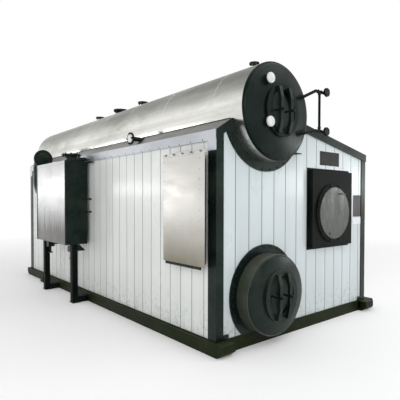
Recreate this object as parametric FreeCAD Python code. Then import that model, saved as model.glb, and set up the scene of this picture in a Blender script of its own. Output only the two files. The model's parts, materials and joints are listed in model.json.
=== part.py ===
"""Packaged twin-drum water-tube boiler on a steel skid.

A clad casing, 6.15 m long, stands on two longitudinal skid beams. The steam drum lies along the
casing, half above the roof, and the mud drum lies below it. Both run through the end walls, where
collar rings close the cut-outs, and end in dished heads with oval manholes. The burner opening is
in the front wall, the flue outlet and the economizer are on the left wall.

Millimetres, +Z up, the front faces -Y. The origin is on the ground at the middle of the plan box.
"""

import FreeCAD
import Part

import math
import os

Vector = FreeCAD.Vector

# ---------------------------------------------------------------- driving dimensions
BODY_WIDTH = 2980.0             # over the corner posts, left to right
BODY_LENGTH = 6150.0            # over the corner posts, front to rear
EAVE_LEFT = 2360.0              # ground to the outer top edge of each side
EAVE_RIGHT = 2305.0

BEAM_HEIGHT = 140.0             # skid beams and cross beams are channels
BEAM_WIDTH = 200.0
BEAM_FLANGE = 14.0
BEAM_WEB = 12.0
SKID_OUTSET = 35.0              # the skid beams stand this far outside the posts
SKID_OVERHANG = 125.0           # and run this far past the front and rear posts
SKID_BEVEL = 75.0               # the underside of each skid end is cut back this far
SKID_BEVEL_HEIGHT = 55.0
CROSS_BEAMS = 4
FLOOR_PLATE = 10.0
LUG_REACH = 170.0               # jacking lugs, past the right-hand posts
LUG_REACH_LEFT = 110.0          # the rear left one is shorter
LUG_AHEAD = 45.0                # front face of the right-hand front lug, past the posts
LUG_LEFT_FROM_REAR = 960.0      # rear face of the left lug
LUG_LENGTH = 150.0
LUG_HEIGHT = 134.0
LUG_PLATE = 16.0

POST_WIDTH = 105.0              # corner posts, across the front
POST_DEPTH = 132.0              # corner posts, along the side
WALL_THICKNESS = 90.0           # cladding, insulation and refractory backing
WALL_RECESS = 12.0              # the cladding face lies behind the post faces
ROOF_THICKNESS = 60.0
ROOF_OVERHANG = 20.0            # drip edge past the right-hand posts
FLASHING_THICKNESS = 30.0
RAKE_HEIGHT = 100.0             # channel that edges both gables
RAKE_PROUD = 12.0
EAVE_TRIM_HEIGHT = 110.0
EAVE_TRIM_PROUD = 8.0
CORNER_PLATE_HEIGHT = 215.0

DRUM_AXIS_FROM_LEFT = 750.0     # both drums, from the outside of the left posts
STEAM_DRUM_HEIGHT = 2610.0      # axis above the ground
STEAM_DRUM_RADIUS = 545.0       # over the jacket
STEAM_DRUM_JACKET = 14.0
MUD_DRUM_HEIGHT = 565.0
MUD_DRUM_RADIUS = 455.0
DRUM_OVERHANG = 165.0           # drum ends stand past the post faces
DRUM_WALL = 20.0
HEAD_DEPTH = 82.0               # dished heads, crown past the end of the drum
HEAD_KNUCKLE = 30.0
HEAD_WALL = 22.0
STEAM_COLLAR_WIDTH = 110.0      # flat ring round each drum on the end walls
MUD_COLLAR_WIDTH = 100.0
COLLAR_THICKNESS = 14.0
FLASHING_ANGLE = 11.7           # left flashing meets the steam drum this far below its axis
ROOF_ANGLE = 1.0                # right roof meets it this far above its axis

MANHOLE_WIDTH = 400.0           # clear opening of the oval manholes
MANHOLE_HEIGHT = 450.0
MANHOLE_RING = 65.0
MANHOLE_PROUD = 12.0            # ring face ahead of the crown of the head
MANHOLE_COVER = 24.0
MANHOLE_COVER_SET_BACK = 40.0   # cover face behind the ring face
MANHOLE_CLEARANCE = 0.3
YOKE_SPACING = 165.0
YOKE_WIDTH = 48.0
YOKE_THICKNESS = 30.0
YOKE_RISE = 58.0
YOKE_FOOT = 34.0
YOKE_STUD = 12.0                # radius
YOKE_NUT_WIDTH = 36.0           # across corners
YOKE_NUT_HEIGHT = 20.0

BURNER_FROM_RIGHT = 938.0       # burner axis
BURNER_HEIGHT = 1460.0
BURNER_BOX_WIDTH = 920.0        # box on the front wall
BURNER_BOX_HEIGHT = 995.0
BURNER_BOX_RAISE = 58.0         # its middle is above the burner axis
BURNER_BOX_DEPTH = 60.0         # ahead of the post faces
BURNER_BOX_PLATE = 10.0
BURNER_THROAT = 600.0           # clear diameter through box and wall
BURNER_THROAT_WALL = 70.0
BURNER_RING = 780.0
BURNER_RING_DEPTH = 20.0
BURNER_COVER = 690.0
BURNER_COVER_THICKNESS = 12.0
HANDLE_BAR = 7.0                # radius
HANDLE_LENGTH = 90.0
HANDLE_RISE = 40.0
HANDLE_RIGHT = 145.0            # its middle, from the burner axis
HANDLE_UP = 255.0

FLUE_FROM_FRONT = 138.0         # flue outlet flange, from the front of the posts
FLUE_WIDTH = 650.0
FLUE_BOTTOM = 893.0
FLUE_HEIGHT = 1221.0
FLUE_REACH = 94.0               # flange face outside the left posts
FLUE_FLANGE = 45.0
FLUE_FLANGE_THICKNESS = 10.0
FLUE_DUCT_WALL = 8.0
FLUE_COVER_THICKNESS = 6.0
FLUE_COVER_AHEAD = 66.0         # the cover laps past the flange at both sides
FLUE_COVER_BEHIND = 40.0
FLUE_COVER_SHORT = 32.0         # and leaves its lower edge bare
FLUE_BAR_HEIGHT = 38.0
FLUE_BAR_DEPTH = 30.0

ECO_FROM_FRONT = 3090.0         # economizer, its front plate from the front of the posts
ECO_LENGTH = 1360.0
ECO_WIDTH = 360.0
ECO_STAND_OFF = 40.0            # clear of the left posts
ECO_BOTTOM = 925.0
ECO_HEIGHT = 1320.0
ECO_PLATE = 22.0
ECO_WALL = 45.0
LEG_SIZE = 90.0
LEG_FROM_FACE = 110.0           # leg side, inside the economizer's outer face
FOOT_HEIGHT = 96.0
PIN_LENGTH = 246.0              # two thermometer pockets on the front plate
PIN_RADIUS = 9.0
PIN_HEAD = 17.0
PIN_HEIGHTS = (1643.0, 1445.0)
PIN_FROM_WALL = 65.0            # from the economizer's inner face

# Flanges: outside diameter, bolt circle, holes, hole diameter, thickness, pipe diameter
FLANGE_200 = (340.0, 295.0, 8, 22.0, 26.0, 219.0)
FLANGE_150 = (300.0, 240.0, 8, 22.0, 24.0, 159.0)
FLANGE_125 = (250.0, 210.0, 8, 18.0, 22.0, 133.0)
FLANGE_50 = (165.0, 125.0, 4, 18.0, 20.0, 60.0)
FLANGE_40 = (150.0, 110.0, 4, 18.0, 18.0, 48.0)
FLANGE_25 = (120.0, 85.0, 4, 14.0, 16.0, 34.0)
FLANGE_20 = (105.0, 80.0, 4, 10.0, 16.0, 42.0)
COVER_THICKNESS = 6.0

TOP_NOZZLE_REACH = 85.0         # flange faces above the steam drum jacket
STEAM_OUTLET_FROM_FRONT = 3440.0
SAFETY_FRONT_FROM_FRONT = 2680.0
SAFETY_REAR_FROM_FRONT = 4270.0
VENT_FROM_FRONT = 180.0
FEED_FROM_FRONT = 1700.0
FEED_HEIGHT = 2452.0
FEED_REACH = 45.0               # flange face outside the left posts
ECO_INLET_BACK = 200.0          # top flange, from the economizer's front plate
ECO_INLET_REACH = 115.0
ECO_OUTLET_HEIGHT = 2390.0
ECO_OUTLET_BACK = 170.0         # flange face, behind the economizer's rear plate
ECO_OUTLET_DROP = 600.0
ECO_OUTLET_BEND = 190.0

LEVEL_NOZZLE_OFFSET = 220.0     # left-hand level nozzles, sideways from the drum axis
LEVEL_NOZZLE_RADIUS = 52.0
LEVEL_NOZZLE_TOP = 313.0        # from the drum axis
LEVEL_NOZZLE_BOTTOM = -146.0
LEVEL_NOZZLE_REACH = 108.0      # their faces, ahead of the jacket end
LEVEL_PIPE_RADIUS = 18.0
LEVEL_COLUMN_RADIUS = 15.0
LEVEL_PIPE_OFFSET = 315.0       # right-hand level pipes leave the head here
LEVEL_PIPE_TOP = 190.0
LEVEL_PIPE_BOTTOM = -220.0
LEVEL_COLUMN_OFFSET = 662.0
LEVEL_COLUMN_TOP = 316.0
LEVEL_COLUMN_BOTTOM = -154.0
LEVEL_COLUMN_REACH = 98.0       # column axis, ahead of the jacket end
LEVEL_STUB = 88.0               # from the column out to each flange
LEVEL_FLANGE_NECK = 32.0        # from the line's axis to the back of its flange
LEVEL_BEND = 60.0
LEVEL_PIPE_LEVEL = 75.0         # the line runs level this far before the column
TAB_OFFSET = 535.0              # small bracket under the level column, from the drum axis
TAB_HEIGHT = 2190.0
TAB_LENGTH = 90.0
TAB_REACH = 70.0
TAB_THICKNESS = 12.0

# Blank plates on the front wall: left edge from the right, from the ground, width, height
WALL_PLATES = ((1148.0, 2095.0, 450.0, 185.0), (316.0, 1392.0, 205.0, 310.0),
               (344.0, 1283.0, 235.0, 94.0))
PLATE_THICKNESS = 4.0

# ---------------------------------------------------------------- places worked out from them
X_LEFT = -(BODY_WIDTH + LUG_REACH - ECO_WIDTH - ECO_STAND_OFF) / 2.0
X_RIGHT = X_LEFT + BODY_WIDTH
Y_FRONT = -BODY_LENGTH / 2.0
Y_REAR = BODY_LENGTH / 2.0
Z_FLOOR = BEAM_HEIGHT + FLOOR_PLATE
DRUM_X = X_LEFT + DRUM_AXIS_FROM_LEFT
CLAD_LEFT = X_LEFT + WALL_RECESS
CLAD_RIGHT = X_RIGHT - WALL_RECESS
CLAD_FRONT = Y_FRONT + WALL_RECESS
DRUM_FRONT = Y_FRONT - DRUM_OVERHANG
CROWN = DRUM_FRONT - HEAD_DEPTH
STEAM_HEAD_RADIUS = STEAM_DRUM_RADIUS - STEAM_DRUM_JACKET
MANHOLE_FACE = CROWN - MANHOLE_PROUD
SKID_LEFT = X_LEFT - SKID_OUTSET
SKID_RIGHT = X_RIGHT + SKID_OUTSET
SKID_FRONT = Y_FRONT - SKID_OVERHANG
BURNER_X = X_RIGHT - BURNER_FROM_RIGHT
BURNER_FACE = Y_FRONT - BURNER_BOX_DEPTH
ECO_FRONT = Y_FRONT + ECO_FROM_FRONT
ECO_REAR = ECO_FRONT + ECO_LENGTH
ECO_INNER = X_LEFT - ECO_STAND_OFF
ECO_OUTER = ECO_INNER - ECO_WIDTH
ECO_TOP = ECO_BOTTOM + ECO_HEIGHT
ECO_X = (ECO_INNER + ECO_OUTER) / 2.0
LEG_X = ECO_OUTER + LEG_FROM_FACE
X_AXIS = Vector(1, 0, 0)
Y_AXIS = Vector(0, 1, 0)
Z_AXIS = Vector(0, 0, 1)


# ---------------------------------------------------------------- shape helpers
def box(x0, y0, z0, x1, y1, z1):
    """A block between two opposite corners."""
    return Part.makeBox(x1 - x0, y1 - y0, z1 - z0, Vector(x0, y0, z0))


def rod(start, end, radius):
    """A solid round bar between two points."""
    axis = end - start
    return Part.makeCylinder(radius, axis.Length, start, axis)


def tube(start, end, outer, inner):
    """A round pipe between two points."""
    return rod(start, end, outer).cut(rod(start, end, inner))


def prism(corners, pull):
    """A flat polygon, pulled along a vector."""
    return Part.Face(Part.makePolygon(corners + corners[:1])).extrude(pull)


def prism_y(points, y0, y1):
    """A polygon of (x, z) points, pulled from y0 to y1."""
    return prism([Vector(x, y0, z) for x, z in points], Vector(0, y1 - y0, 0))


def prism_x(points, x0, x1):
    """A polygon of (y, z) points, pulled from x0 to x1."""
    return prism([Vector(x0, y, z) for y, z in points], Vector(x1 - x0, 0, 0))


def oval_y(x, z, width, height, y0, y1):
    """An oval plate across the Y axis, taller than wide."""
    ellipse = Part.Ellipse(Vector(x, y0, z + height / 2.0), Vector(x + width / 2.0, y0, z),
                           Vector(x, y0, z))
    face = Part.Face(Part.Wire(ellipse.toShape()))
    return face.extrude(Vector(0, y1 - y0, 0))


def bent_pipe(points, bend, radius):
    """A round bar along straight runs joined by tangent bends."""
    pieces = []
    start = points[0]
    for before, corner, after in zip(points, points[1:], points[2:]):
        way_in = (corner - before).normalize()
        way_out = (after - corner).normalize()
        turn = way_in.getAngle(way_out)
        setback = bend * math.tan(turn / 2.0)
        first = corner - way_in * setback
        axis = way_in.cross(way_out).normalize()
        centre = first + axis.cross(way_in) * bend
        disc = Part.Face(Part.Wire(Part.Circle(first, way_in, radius).toShape()))
        pieces.append(rod(start, first, radius))
        pieces.append(disc.revolve(centre, axis, math.degrees(turn)))
        start = corner + way_out * setback
    pieces.append(rod(start, points[-1], radius))
    return pieces[0].fuse(pieces[1:]).removeSplitter()


def round_points(centre, axis, radius, count):
    """Bolt positions round a circle across an axis, none of them on its vertical."""
    side = Z_AXIS if abs(axis.z) < 0.5 else X_AXIS
    across = axis.cross(side).normalize()
    other = axis.cross(across).normalize()
    angles = [2.0 * math.pi * (k + 0.5) / count for k in range(count)]
    return [centre + across * (radius * math.cos(a)) + other * (radius * math.sin(a))
            for a in angles]


def flange(face_centre, axis, size):
    """A drilled flange whose face looks along the axis."""
    outside, circle, count, hole, thickness, pipe = size
    back = face_centre - axis * thickness
    disc = rod(back, face_centre, outside / 2.0)
    for point in round_points(back, axis, circle / 2.0, count):
        disc = disc.cut(rod(point - axis, point + axis * (thickness + 1.0), hole / 2.0))
    return disc


def flange_cover(face_centre, axis, size):
    """The disc that closes a flange inside its bolts."""
    outside, circle, count, hole, thickness, pipe = size
    radius = (circle - hole) / 2.0 - 3.0
    return rod(face_centre, face_centre + axis * COVER_THICKNESS, radius)


def nozzle(root, face_centre, axis, size):
    """A pipe stub from its root to a flange, one welded piece."""
    stub = rod(root, face_centre - axis * size[4], size[5] / 2.0)
    return stub.fuse(flange(face_centre, axis, size)).removeSplitter()


def rear(shape):
    """The same piece at the rear end of the boiler."""
    return shape.mirror(Vector(0, 0, 0), Y_AXIS)


# ---------------------------------------------------------------- roof lines, in the XZ plane
def on_steam_drum(degrees):
    """A point on the steam drum's jacket, by its angle above the axis on the right."""
    a = math.radians(degrees)
    return (DRUM_X + STEAM_DRUM_RADIUS * math.cos(a),
            STEAM_DRUM_HEIGHT + STEAM_DRUM_RADIUS * math.sin(a))


LEFT_MEETING = on_steam_drum(180.0 + FLASHING_ANGLE)
RIGHT_MEETING = on_steam_drum(ROOF_ANGLE)


def flashing_top(x):
    """Height of the left flashing's upper face."""
    slope = (LEFT_MEETING[1] - EAVE_LEFT) / (LEFT_MEETING[0] - X_LEFT)
    return EAVE_LEFT + (x - X_LEFT) * slope


def roof_top(x):
    """Height of the right roof's upper face."""
    slope = (RIGHT_MEETING[1] - EAVE_RIGHT) / (RIGHT_MEETING[0] - X_RIGHT)
    return EAVE_RIGHT + (x - X_RIGHT) * slope


def gable(inset, drop_left, drop_right, y0, y1):
    """The end outline under both roof faces, each lowered by its drop, pulled along Y."""
    x0 = X_LEFT + inset
    x1 = X_RIGHT - inset
    points = [(x0, Z_FLOOR), (x1, Z_FLOOR), (x1, roof_top(x1) - drop_right),
              (DRUM_X, roof_top(DRUM_X) - drop_right), (DRUM_X, flashing_top(DRUM_X) - drop_left),
              (x0, flashing_top(x0) - drop_left)]
    return prism_y(points, y0, y1)


def drum_envelope(height, radius):
    """Everything inside a drum's outer radius, past both ends."""
    reach = BODY_LENGTH
    return rod(Vector(DRUM_X, -reach, height), Vector(DRUM_X, reach, height), radius)


STEAM_ENVELOPE = drum_envelope(STEAM_DRUM_HEIGHT, STEAM_DRUM_RADIUS)
MUD_ENVELOPE = drum_envelope(MUD_DRUM_HEIGHT, MUD_DRUM_RADIUS)


# ---------------------------------------------------------------- base
def channel(outer, inner):
    """Outline of a channel on the ground, its web at outer and its flanges reaching inner."""
    side = 1.0 if inner > outer else -1.0
    web = outer + side * BEAM_WEB
    t = BEAM_FLANGE
    h = BEAM_HEIGHT
    return [(outer, 0), (inner, 0), (inner, t), (web, t), (web, h - t), (inner, h - t),
            (inner, h), (outer, h)]


def skid(outer, inner, lugs):
    """A longitudinal channel with closed ends, cut back underneath, and its welded lugs."""
    beam = prism_y(channel(outer, inner), SKID_FRONT, -SKID_FRONT)
    end = box(min(outer, inner), SKID_FRONT, 0, max(outer, inner), SKID_FRONT + SKID_BEVEL
              + BEAM_WEB, BEAM_HEIGHT)
    beam = beam.fuse([end, rear(end)] + lugs)
    toe = [(SKID_FRONT, 0), (SKID_FRONT + SKID_BEVEL, 0), (SKID_FRONT, SKID_BEVEL_HEIGHT)]
    wedge = prism_x(toe, min(outer, inner), max(outer, inner))
    return beam.cut(wedge).cut(rear(wedge)).removeSplitter()


def cross_beam(k):
    """One channel between the skids, notched on top where the mud drum lies."""
    pitch = (BODY_LENGTH - BEAM_WIDTH) / (CROSS_BEAMS - 1)
    outer = Y_FRONT + k * pitch
    beam = prism_x(channel(outer, outer + BEAM_WIDTH), SKID_LEFT + BEAM_WIDTH,
                   SKID_RIGHT - BEAM_WIDTH)
    return beam.cut(MUD_ENVELOPE)


def floor_plate():
    """Bottom plate of the casing, slotted where the mud drum dips through it."""
    plate = box(X_LEFT, Y_FRONT, BEAM_HEIGHT, X_RIGHT, Y_REAR, Z_FLOOR)
    return plate.cut(MUD_ENVELOPE)


def lug(x0, x1, y0):
    """A hollow box lug between two X planes."""
    y1 = y0 + LUG_LENGTH
    t = LUG_PLATE
    outer = box(x0, y0, 0, x1, y1, LUG_HEIGHT)
    return outer.cut(box(x0 + t, y0 + t, t, x1 - t, y1 - t, LUG_HEIGHT - t))


# ---------------------------------------------------------------- casing
def rake_band():
    """Channel along both top edges of the front gable, up to the steam drum."""
    y0 = Y_FRONT - RAKE_PROUD
    band = gable(0, 0, 0, y0, CLAD_FRONT)
    band = band.cut(gable(0, RAKE_HEIGHT, RAKE_HEIGHT, y0, CLAD_FRONT))
    return band.cut(STEAM_ENVELOPE).cut(collar_zone())


def collar_zone():
    """Space of the steam drum's collar ring on the front wall."""
    radius = STEAM_DRUM_RADIUS + STEAM_COLLAR_WIDTH
    y0 = CLAD_FRONT - COLLAR_THICKNESS
    return rod(Vector(DRUM_X, y0, STEAM_DRUM_HEIGHT), Vector(DRUM_X, CLAD_FRONT,
               STEAM_DRUM_HEIGHT), radius)


def steam_collar():
    """Ring round the steam drum on the front wall, ended by the roof faces."""
    ring = collar_zone().cut(STEAM_ENVELOPE)
    inside = gable(POST_WIDTH, FLASHING_THICKNESS, ROOF_THICKNESS, Y_FRONT - COLLAR_THICKNESS,
                   CLAD_FRONT)
    return ring.common(inside)


def mud_collar():
    """Ring round the mud drum on the front wall, standing on the floor plate."""
    y0 = CLAD_FRONT - COLLAR_THICKNESS
    radius = MUD_DRUM_RADIUS + MUD_COLLAR_WIDTH
    ring = rod(Vector(DRUM_X, y0, MUD_DRUM_HEIGHT), Vector(DRUM_X, CLAD_FRONT, MUD_DRUM_HEIGHT),
               radius).cut(MUD_ENVELOPE)
    return ring.cut(box(DRUM_X - radius, y0, -radius, DRUM_X + radius, CLAD_FRONT, Z_FLOOR))


RAKE = rake_band()


def post(at_left):
    """A front corner post, cut to the slope above it and housed behind the rake."""
    x0 = X_LEFT if at_left else X_RIGHT - POST_WIDTH
    y1 = Y_FRONT + POST_DEPTH
    block = box(x0, Y_FRONT, Z_FLOOR, x0 + POST_WIDTH, y1, STEAM_DRUM_HEIGHT)
    block = block.common(gable(0, FLASHING_THICKNESS, ROOF_THICKNESS, Y_FRONT, y1))
    return block.cut(RAKE)


def end_wall():
    """Wall between two corner posts, cut out for both drums."""
    y1 = CLAD_FRONT + WALL_THICKNESS
    wall = gable(POST_WIDTH, FLASHING_THICKNESS, ROOF_THICKNESS, CLAD_FRONT, y1)
    return wall.cut(STEAM_ENVELOPE).cut(MUD_ENVELOPE)


def left_wall():
    """Side wall under the flashing, with the flue outlet cut through it."""
    x0 = CLAD_LEFT
    x1 = CLAD_LEFT + WALL_THICKNESS
    outline = [(x0, Z_FLOOR), (x1, Z_FLOOR), (x1, flashing_top(x1) - FLASHING_THICKNESS),
               (x0, flashing_top(x0) - FLASHING_THICKNESS)]
    wall = prism_y(outline, Y_FRONT + POST_DEPTH, Y_REAR - POST_DEPTH)
    return wall.cut(duct_envelope())


def right_wall():
    """Side wall under the low edge of the roof."""
    x0 = CLAD_RIGHT - WALL_THICKNESS
    x1 = CLAD_RIGHT
    outline = [(x0, Z_FLOOR), (x1, Z_FLOOR), (x1, roof_top(x1) - ROOF_THICKNESS),
               (x0, roof_top(x0) - ROOF_THICKNESS)]
    return prism_y(outline, Y_FRONT + POST_DEPTH, Y_REAR - POST_DEPTH)


def roof_right():
    """Insulated roof from the steam drum down to the right eave."""
    x1 = X_RIGHT + ROOF_OVERHANG
    outline = [(DRUM_X, roof_top(DRUM_X)), (x1, roof_top(x1)), (x1, roof_top(x1) - ROOF_THICKNESS),
               (DRUM_X, roof_top(DRUM_X) - ROOF_THICKNESS)]
    slab = prism_y(outline, Y_FRONT, Y_REAR).cut(STEAM_ENVELOPE)
    return slab.cut(RAKE).cut(rear(RAKE))


def flashing():
    """Sloping sheet from the left eave up to the steam drum."""
    outline = [(X_LEFT, flashing_top(X_LEFT)), (DRUM_X, flashing_top(DRUM_X)),
               (DRUM_X, flashing_top(DRUM_X) - FLASHING_THICKNESS),
               (X_LEFT, flashing_top(X_LEFT) - FLASHING_THICKNESS)]
    sheet = prism_y(outline, Y_FRONT, Y_REAR).cut(STEAM_ENVELOPE)
    return sheet.cut(RAKE).cut(rear(RAKE)).cut(feed_nozzle())


def eave_trim_left():
    """Bright strip along the top of the left wall, lapped over the flashing's edge and posts."""
    x0 = X_LEFT - EAVE_TRIM_PROUD
    z0 = EAVE_LEFT - EAVE_TRIM_HEIGHT
    outline = [(x0, z0), (CLAD_LEFT, z0), (CLAD_LEFT, flashing_top(CLAD_LEFT) - FLASHING_THICKNESS),
               (X_LEFT, EAVE_LEFT - FLASHING_THICKNESS), (X_LEFT, EAVE_LEFT), (x0, EAVE_LEFT)]
    strip = prism_y(outline, Y_FRONT + POST_DEPTH, Y_REAR - POST_DEPTH)
    end = box(x0, Y_FRONT, EAVE_LEFT - CORNER_PLATE_HEIGHT, X_LEFT, Y_FRONT + POST_DEPTH, EAVE_LEFT)
    return strip.fuse([end, rear(end)]).removeSplitter()


def eave_trim_right():
    """Strip under the low edge of the roof on the right wall."""
    x1 = X_RIGHT + EAVE_TRIM_PROUD
    z0 = EAVE_RIGHT - ROOF_THICKNESS - EAVE_TRIM_HEIGHT
    outline = [(CLAD_RIGHT, z0), (x1, z0), (x1, roof_top(x1) - ROOF_THICKNESS),
               (CLAD_RIGHT, roof_top(CLAD_RIGHT) - ROOF_THICKNESS)]
    return prism_y(outline, Y_FRONT + POST_DEPTH, Y_REAR - POST_DEPTH)


# ---------------------------------------------------------------- drums
def drum_tube(height, outer, wall):
    """A drum's cylindrical part, from end to end."""
    return tube(Vector(DRUM_X, DRUM_FRONT, height), Vector(DRUM_X, -DRUM_FRONT, height), outer,
                outer - wall)


def crown_radius(radius):
    """Spherical radius of a head whose knuckle runs smoothly into its crown."""
    flat = radius - HEAD_KNUCKLE
    return (flat ** 2 + HEAD_DEPTH ** 2 - HEAD_KNUCKLE ** 2) / (2.0 * (HEAD_DEPTH - HEAD_KNUCKLE))


def crown_ball(height, radius):
    """The ball whose surface is a front head's crown."""
    crown = crown_radius(radius)
    return Part.makeSphere(crown, Vector(DRUM_X, CROWN + crown, height))


def dished_head(height, radius):
    """A dished front head, butted to the end of a drum, with its heavy oval manhole ring."""
    flat = radius - HEAD_KNUCKLE
    crown = crown_radius(radius)
    centre = CROWN + crown
    lean = math.asin(flat / (crown - HEAD_KNUCKLE))
    skin = []
    for inset in (0.0, HEAD_WALL):
        r = crown - inset
        k = HEAD_KNUCKLE - inset
        apex = Vector(0, centre - r, 0)
        on_crown = Vector(r * math.sin(lean / 2.0), centre - r * math.cos(lean / 2.0), 0)
        joint = Vector(r * math.sin(lean), centre - r * math.cos(lean), 0)
        a = (math.pi / 2.0 + lean) / 2.0
        on_knuckle = Vector(flat + k * math.sin(a), DRUM_FRONT - k * math.cos(a), 0)
        rim = Vector(flat + k, DRUM_FRONT, 0)
        skin.append((apex, on_crown, joint, on_knuckle, rim))
    outer, inner = skin
    edges = [Part.Arc(*outer[:3]), Part.Arc(*outer[2:]), Part.LineSegment(outer[4], inner[4]),
             Part.Arc(inner[4], inner[3], inner[2]), Part.Arc(inner[2], inner[1], inner[0]),
             Part.LineSegment(inner[0], outer[0])]
    profile = Part.Face(Part.Wire([e.toShape() for e in edges]))
    head = profile.revolve(Vector(0, 0, 0), Y_AXIS, 360)
    head.translate(Vector(DRUM_X, 0, height))
    ring = oval_y(DRUM_X, height, MANHOLE_WIDTH + 2.0 * MANHOLE_RING,
                  MANHOLE_HEIGHT + 2.0 * MANHOLE_RING, MANHOLE_FACE, DRUM_FRONT)
    opening = oval_y(DRUM_X, height, MANHOLE_WIDTH, MANHOLE_HEIGHT, MANHOLE_FACE, DRUM_FRONT)
    return head.fuse(ring).cut(opening).removeSplitter()


def manhole_cover(height):
    """Oval cover set back in the ring."""
    y0 = MANHOLE_FACE + MANHOLE_COVER_SET_BACK
    gap = 2.0 * MANHOLE_CLEARANCE
    return oval_y(DRUM_X, height, MANHOLE_WIDTH - gap, MANHOLE_HEIGHT - gap, y0, y0 + MANHOLE_COVER)


def yoke(x, height):
    """An arched bar over the manhole with the stud and nut that hold the cover."""
    half = MANHOLE_HEIGHT / 2.0 + YOKE_FOOT * 0.75
    top = MANHOLE_FACE - YOKE_RISE
    under = top + YOKE_THICKNESS
    outline = [(MANHOLE_FACE, -half), (top + YOKE_RISE * 0.5, -half), (top, -half * 0.5),
               (top, half * 0.5), (top + YOKE_RISE * 0.5, half), (MANHOLE_FACE, half),
               (MANHOLE_FACE, half - YOKE_FOOT), (under, half * 0.45), (under, -half * 0.45),
               (MANHOLE_FACE, YOKE_FOOT - half)]
    bar = prism_x([(y, z + height) for y, z in outline], x - YOKE_WIDTH / 2.0, x + YOKE_WIDTH / 2.0)
    tip = top - YOKE_NUT_HEIGHT * 1.5
    stud = rod(Vector(x, tip, height), Vector(x, MANHOLE_FACE + MANHOLE_COVER_SET_BACK, height),
               YOKE_STUD)
    corners = [Vector(x + YOKE_NUT_WIDTH / 2.0 * math.cos(math.pi * k / 3.0), top,
                      height + YOKE_NUT_WIDTH / 2.0 * math.sin(math.pi * k / 3.0)) for k in range(6)]
    nut = prism(corners, Vector(0, -YOKE_NUT_HEIGHT, 0))
    return bar.fuse([stud, nut]).removeSplitter()


def manhole(height):
    """The cover of one manhole and its two yokes."""
    bars = [yoke(DRUM_X + side * YOKE_SPACING / 2.0, height) for side in (-1, 1)]
    return Part.makeCompound([manhole_cover(height)] + bars)


# ---------------------------------------------------------------- nozzles on the steam drum
TOP_NOZZLES = {
    "steam_outlet": (STEAM_OUTLET_FROM_FRONT, FLANGE_125),
    "safety_valve_nozzle_front": (SAFETY_FRONT_FROM_FRONT, FLANGE_50),
    "safety_valve_nozzle_rear": (SAFETY_REAR_FROM_FRONT, FLANGE_50),
    "vent_nozzle": (VENT_FROM_FRONT, FLANGE_25),
}


def top_nozzle(from_front, size):
    """A short flanged stub standing on the steam drum."""
    y = Y_FRONT + from_front
    top = STEAM_DRUM_HEIGHT + STEAM_DRUM_RADIUS + TOP_NOZZLE_REACH
    root = Vector(DRUM_X, y, STEAM_DRUM_HEIGHT + STEAM_DRUM_RADIUS - 2.0 * DRUM_WALL)
    return nozzle(root, Vector(DRUM_X, y, top), Z_AXIS, size)


def feed_nozzle():
    """Flanged stub out of the steam drum's left flank, through the flashing."""
    y = Y_FRONT + FEED_FROM_FRONT
    root = Vector(DRUM_X - STEAM_DRUM_RADIUS + 2.0 * DRUM_WALL, y, FEED_HEIGHT)
    return nozzle(root, feed_face(), X_AXIS * -1.0, FLANGE_50)


def feed_face():
    """Centre of the feed nozzle's flange face."""
    return Vector(X_LEFT - FEED_REACH, Y_FRONT + FEED_FROM_FRONT, FEED_HEIGHT)


def level_nozzle_face(rise):
    """Centre of a left-hand level nozzle's face."""
    return Vector(DRUM_X - LEVEL_NOZZLE_OFFSET, DRUM_FRONT - LEVEL_NOZZLE_REACH,
                  STEAM_DRUM_HEIGHT + rise)


def level_nozzle(rise):
    """Short thick stub through the left of the front head."""
    face = level_nozzle_face(rise)
    return rod(Vector(face.x, DRUM_FRONT, face.z), face, LEVEL_NOZZLE_RADIUS)


def level_line(pipe_rise, column_rise):
    """Pipe from the front head over to the level column and on to a small flange."""
    y = DRUM_FRONT - LEVEL_COLUMN_REACH
    z0 = STEAM_DRUM_HEIGHT + pipe_rise
    z1 = STEAM_DRUM_HEIGHT + column_rise
    x0 = DRUM_X + LEVEL_PIPE_OFFSET
    x1 = DRUM_X + LEVEL_COLUMN_OFFSET
    points = [Vector(x0, DRUM_FRONT, z0), Vector(x0, y, z0), Vector(x1 - LEVEL_PIPE_LEVEL, y, z1),
              Vector(x1 + LEVEL_STUB, y, z1)]
    pipe = bent_pipe(points, LEVEL_BEND, LEVEL_PIPE_RADIUS)
    pipe = pipe.cut(crown_ball(STEAM_DRUM_HEIGHT, STEAM_HEAD_RADIUS))
    face = Vector(x1 + LEVEL_STUB, y - LEVEL_FLANGE_NECK - FLANGE_20[4], z1)
    return pipe.fuse([nozzle(Vector(face.x, y, z1), face, Y_AXIS * -1.0, FLANGE_20)])


def level_column():
    """The level column with its two lines, one welded piece."""
    x = DRUM_X + LEVEL_COLUMN_OFFSET
    y = DRUM_FRONT - LEVEL_COLUMN_REACH
    column = rod(Vector(x, y, STEAM_DRUM_HEIGHT + LEVEL_COLUMN_BOTTOM),
                 Vector(x, y, STEAM_DRUM_HEIGHT + LEVEL_COLUMN_TOP), LEVEL_COLUMN_RADIUS)
    upper = level_line(LEVEL_PIPE_TOP, LEVEL_COLUMN_TOP)
    lower = level_line(LEVEL_PIPE_BOTTOM, LEVEL_COLUMN_BOTTOM)
    return column.fuse([upper, lower]).removeSplitter()


def collar_tab():
    """Small bracket on the lower right of the steam drum's front collar."""
    x0 = DRUM_X + TAB_OFFSET
    y1 = CLAD_FRONT
    return box(x0 - TAB_LENGTH / 2.0, y1 - COLLAR_THICKNESS - TAB_REACH, TAB_HEIGHT,
               x0 + TAB_LENGTH / 2.0, y1, TAB_HEIGHT + TAB_THICKNESS)


# ---------------------------------------------------------------- burner opening
def burner_envelope(radius, y0, y1):
    """A cylinder on the burner axis."""
    return rod(Vector(BURNER_X, y0, BURNER_HEIGHT), Vector(BURNER_X, y1, BURNER_HEIGHT), radius)


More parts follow.
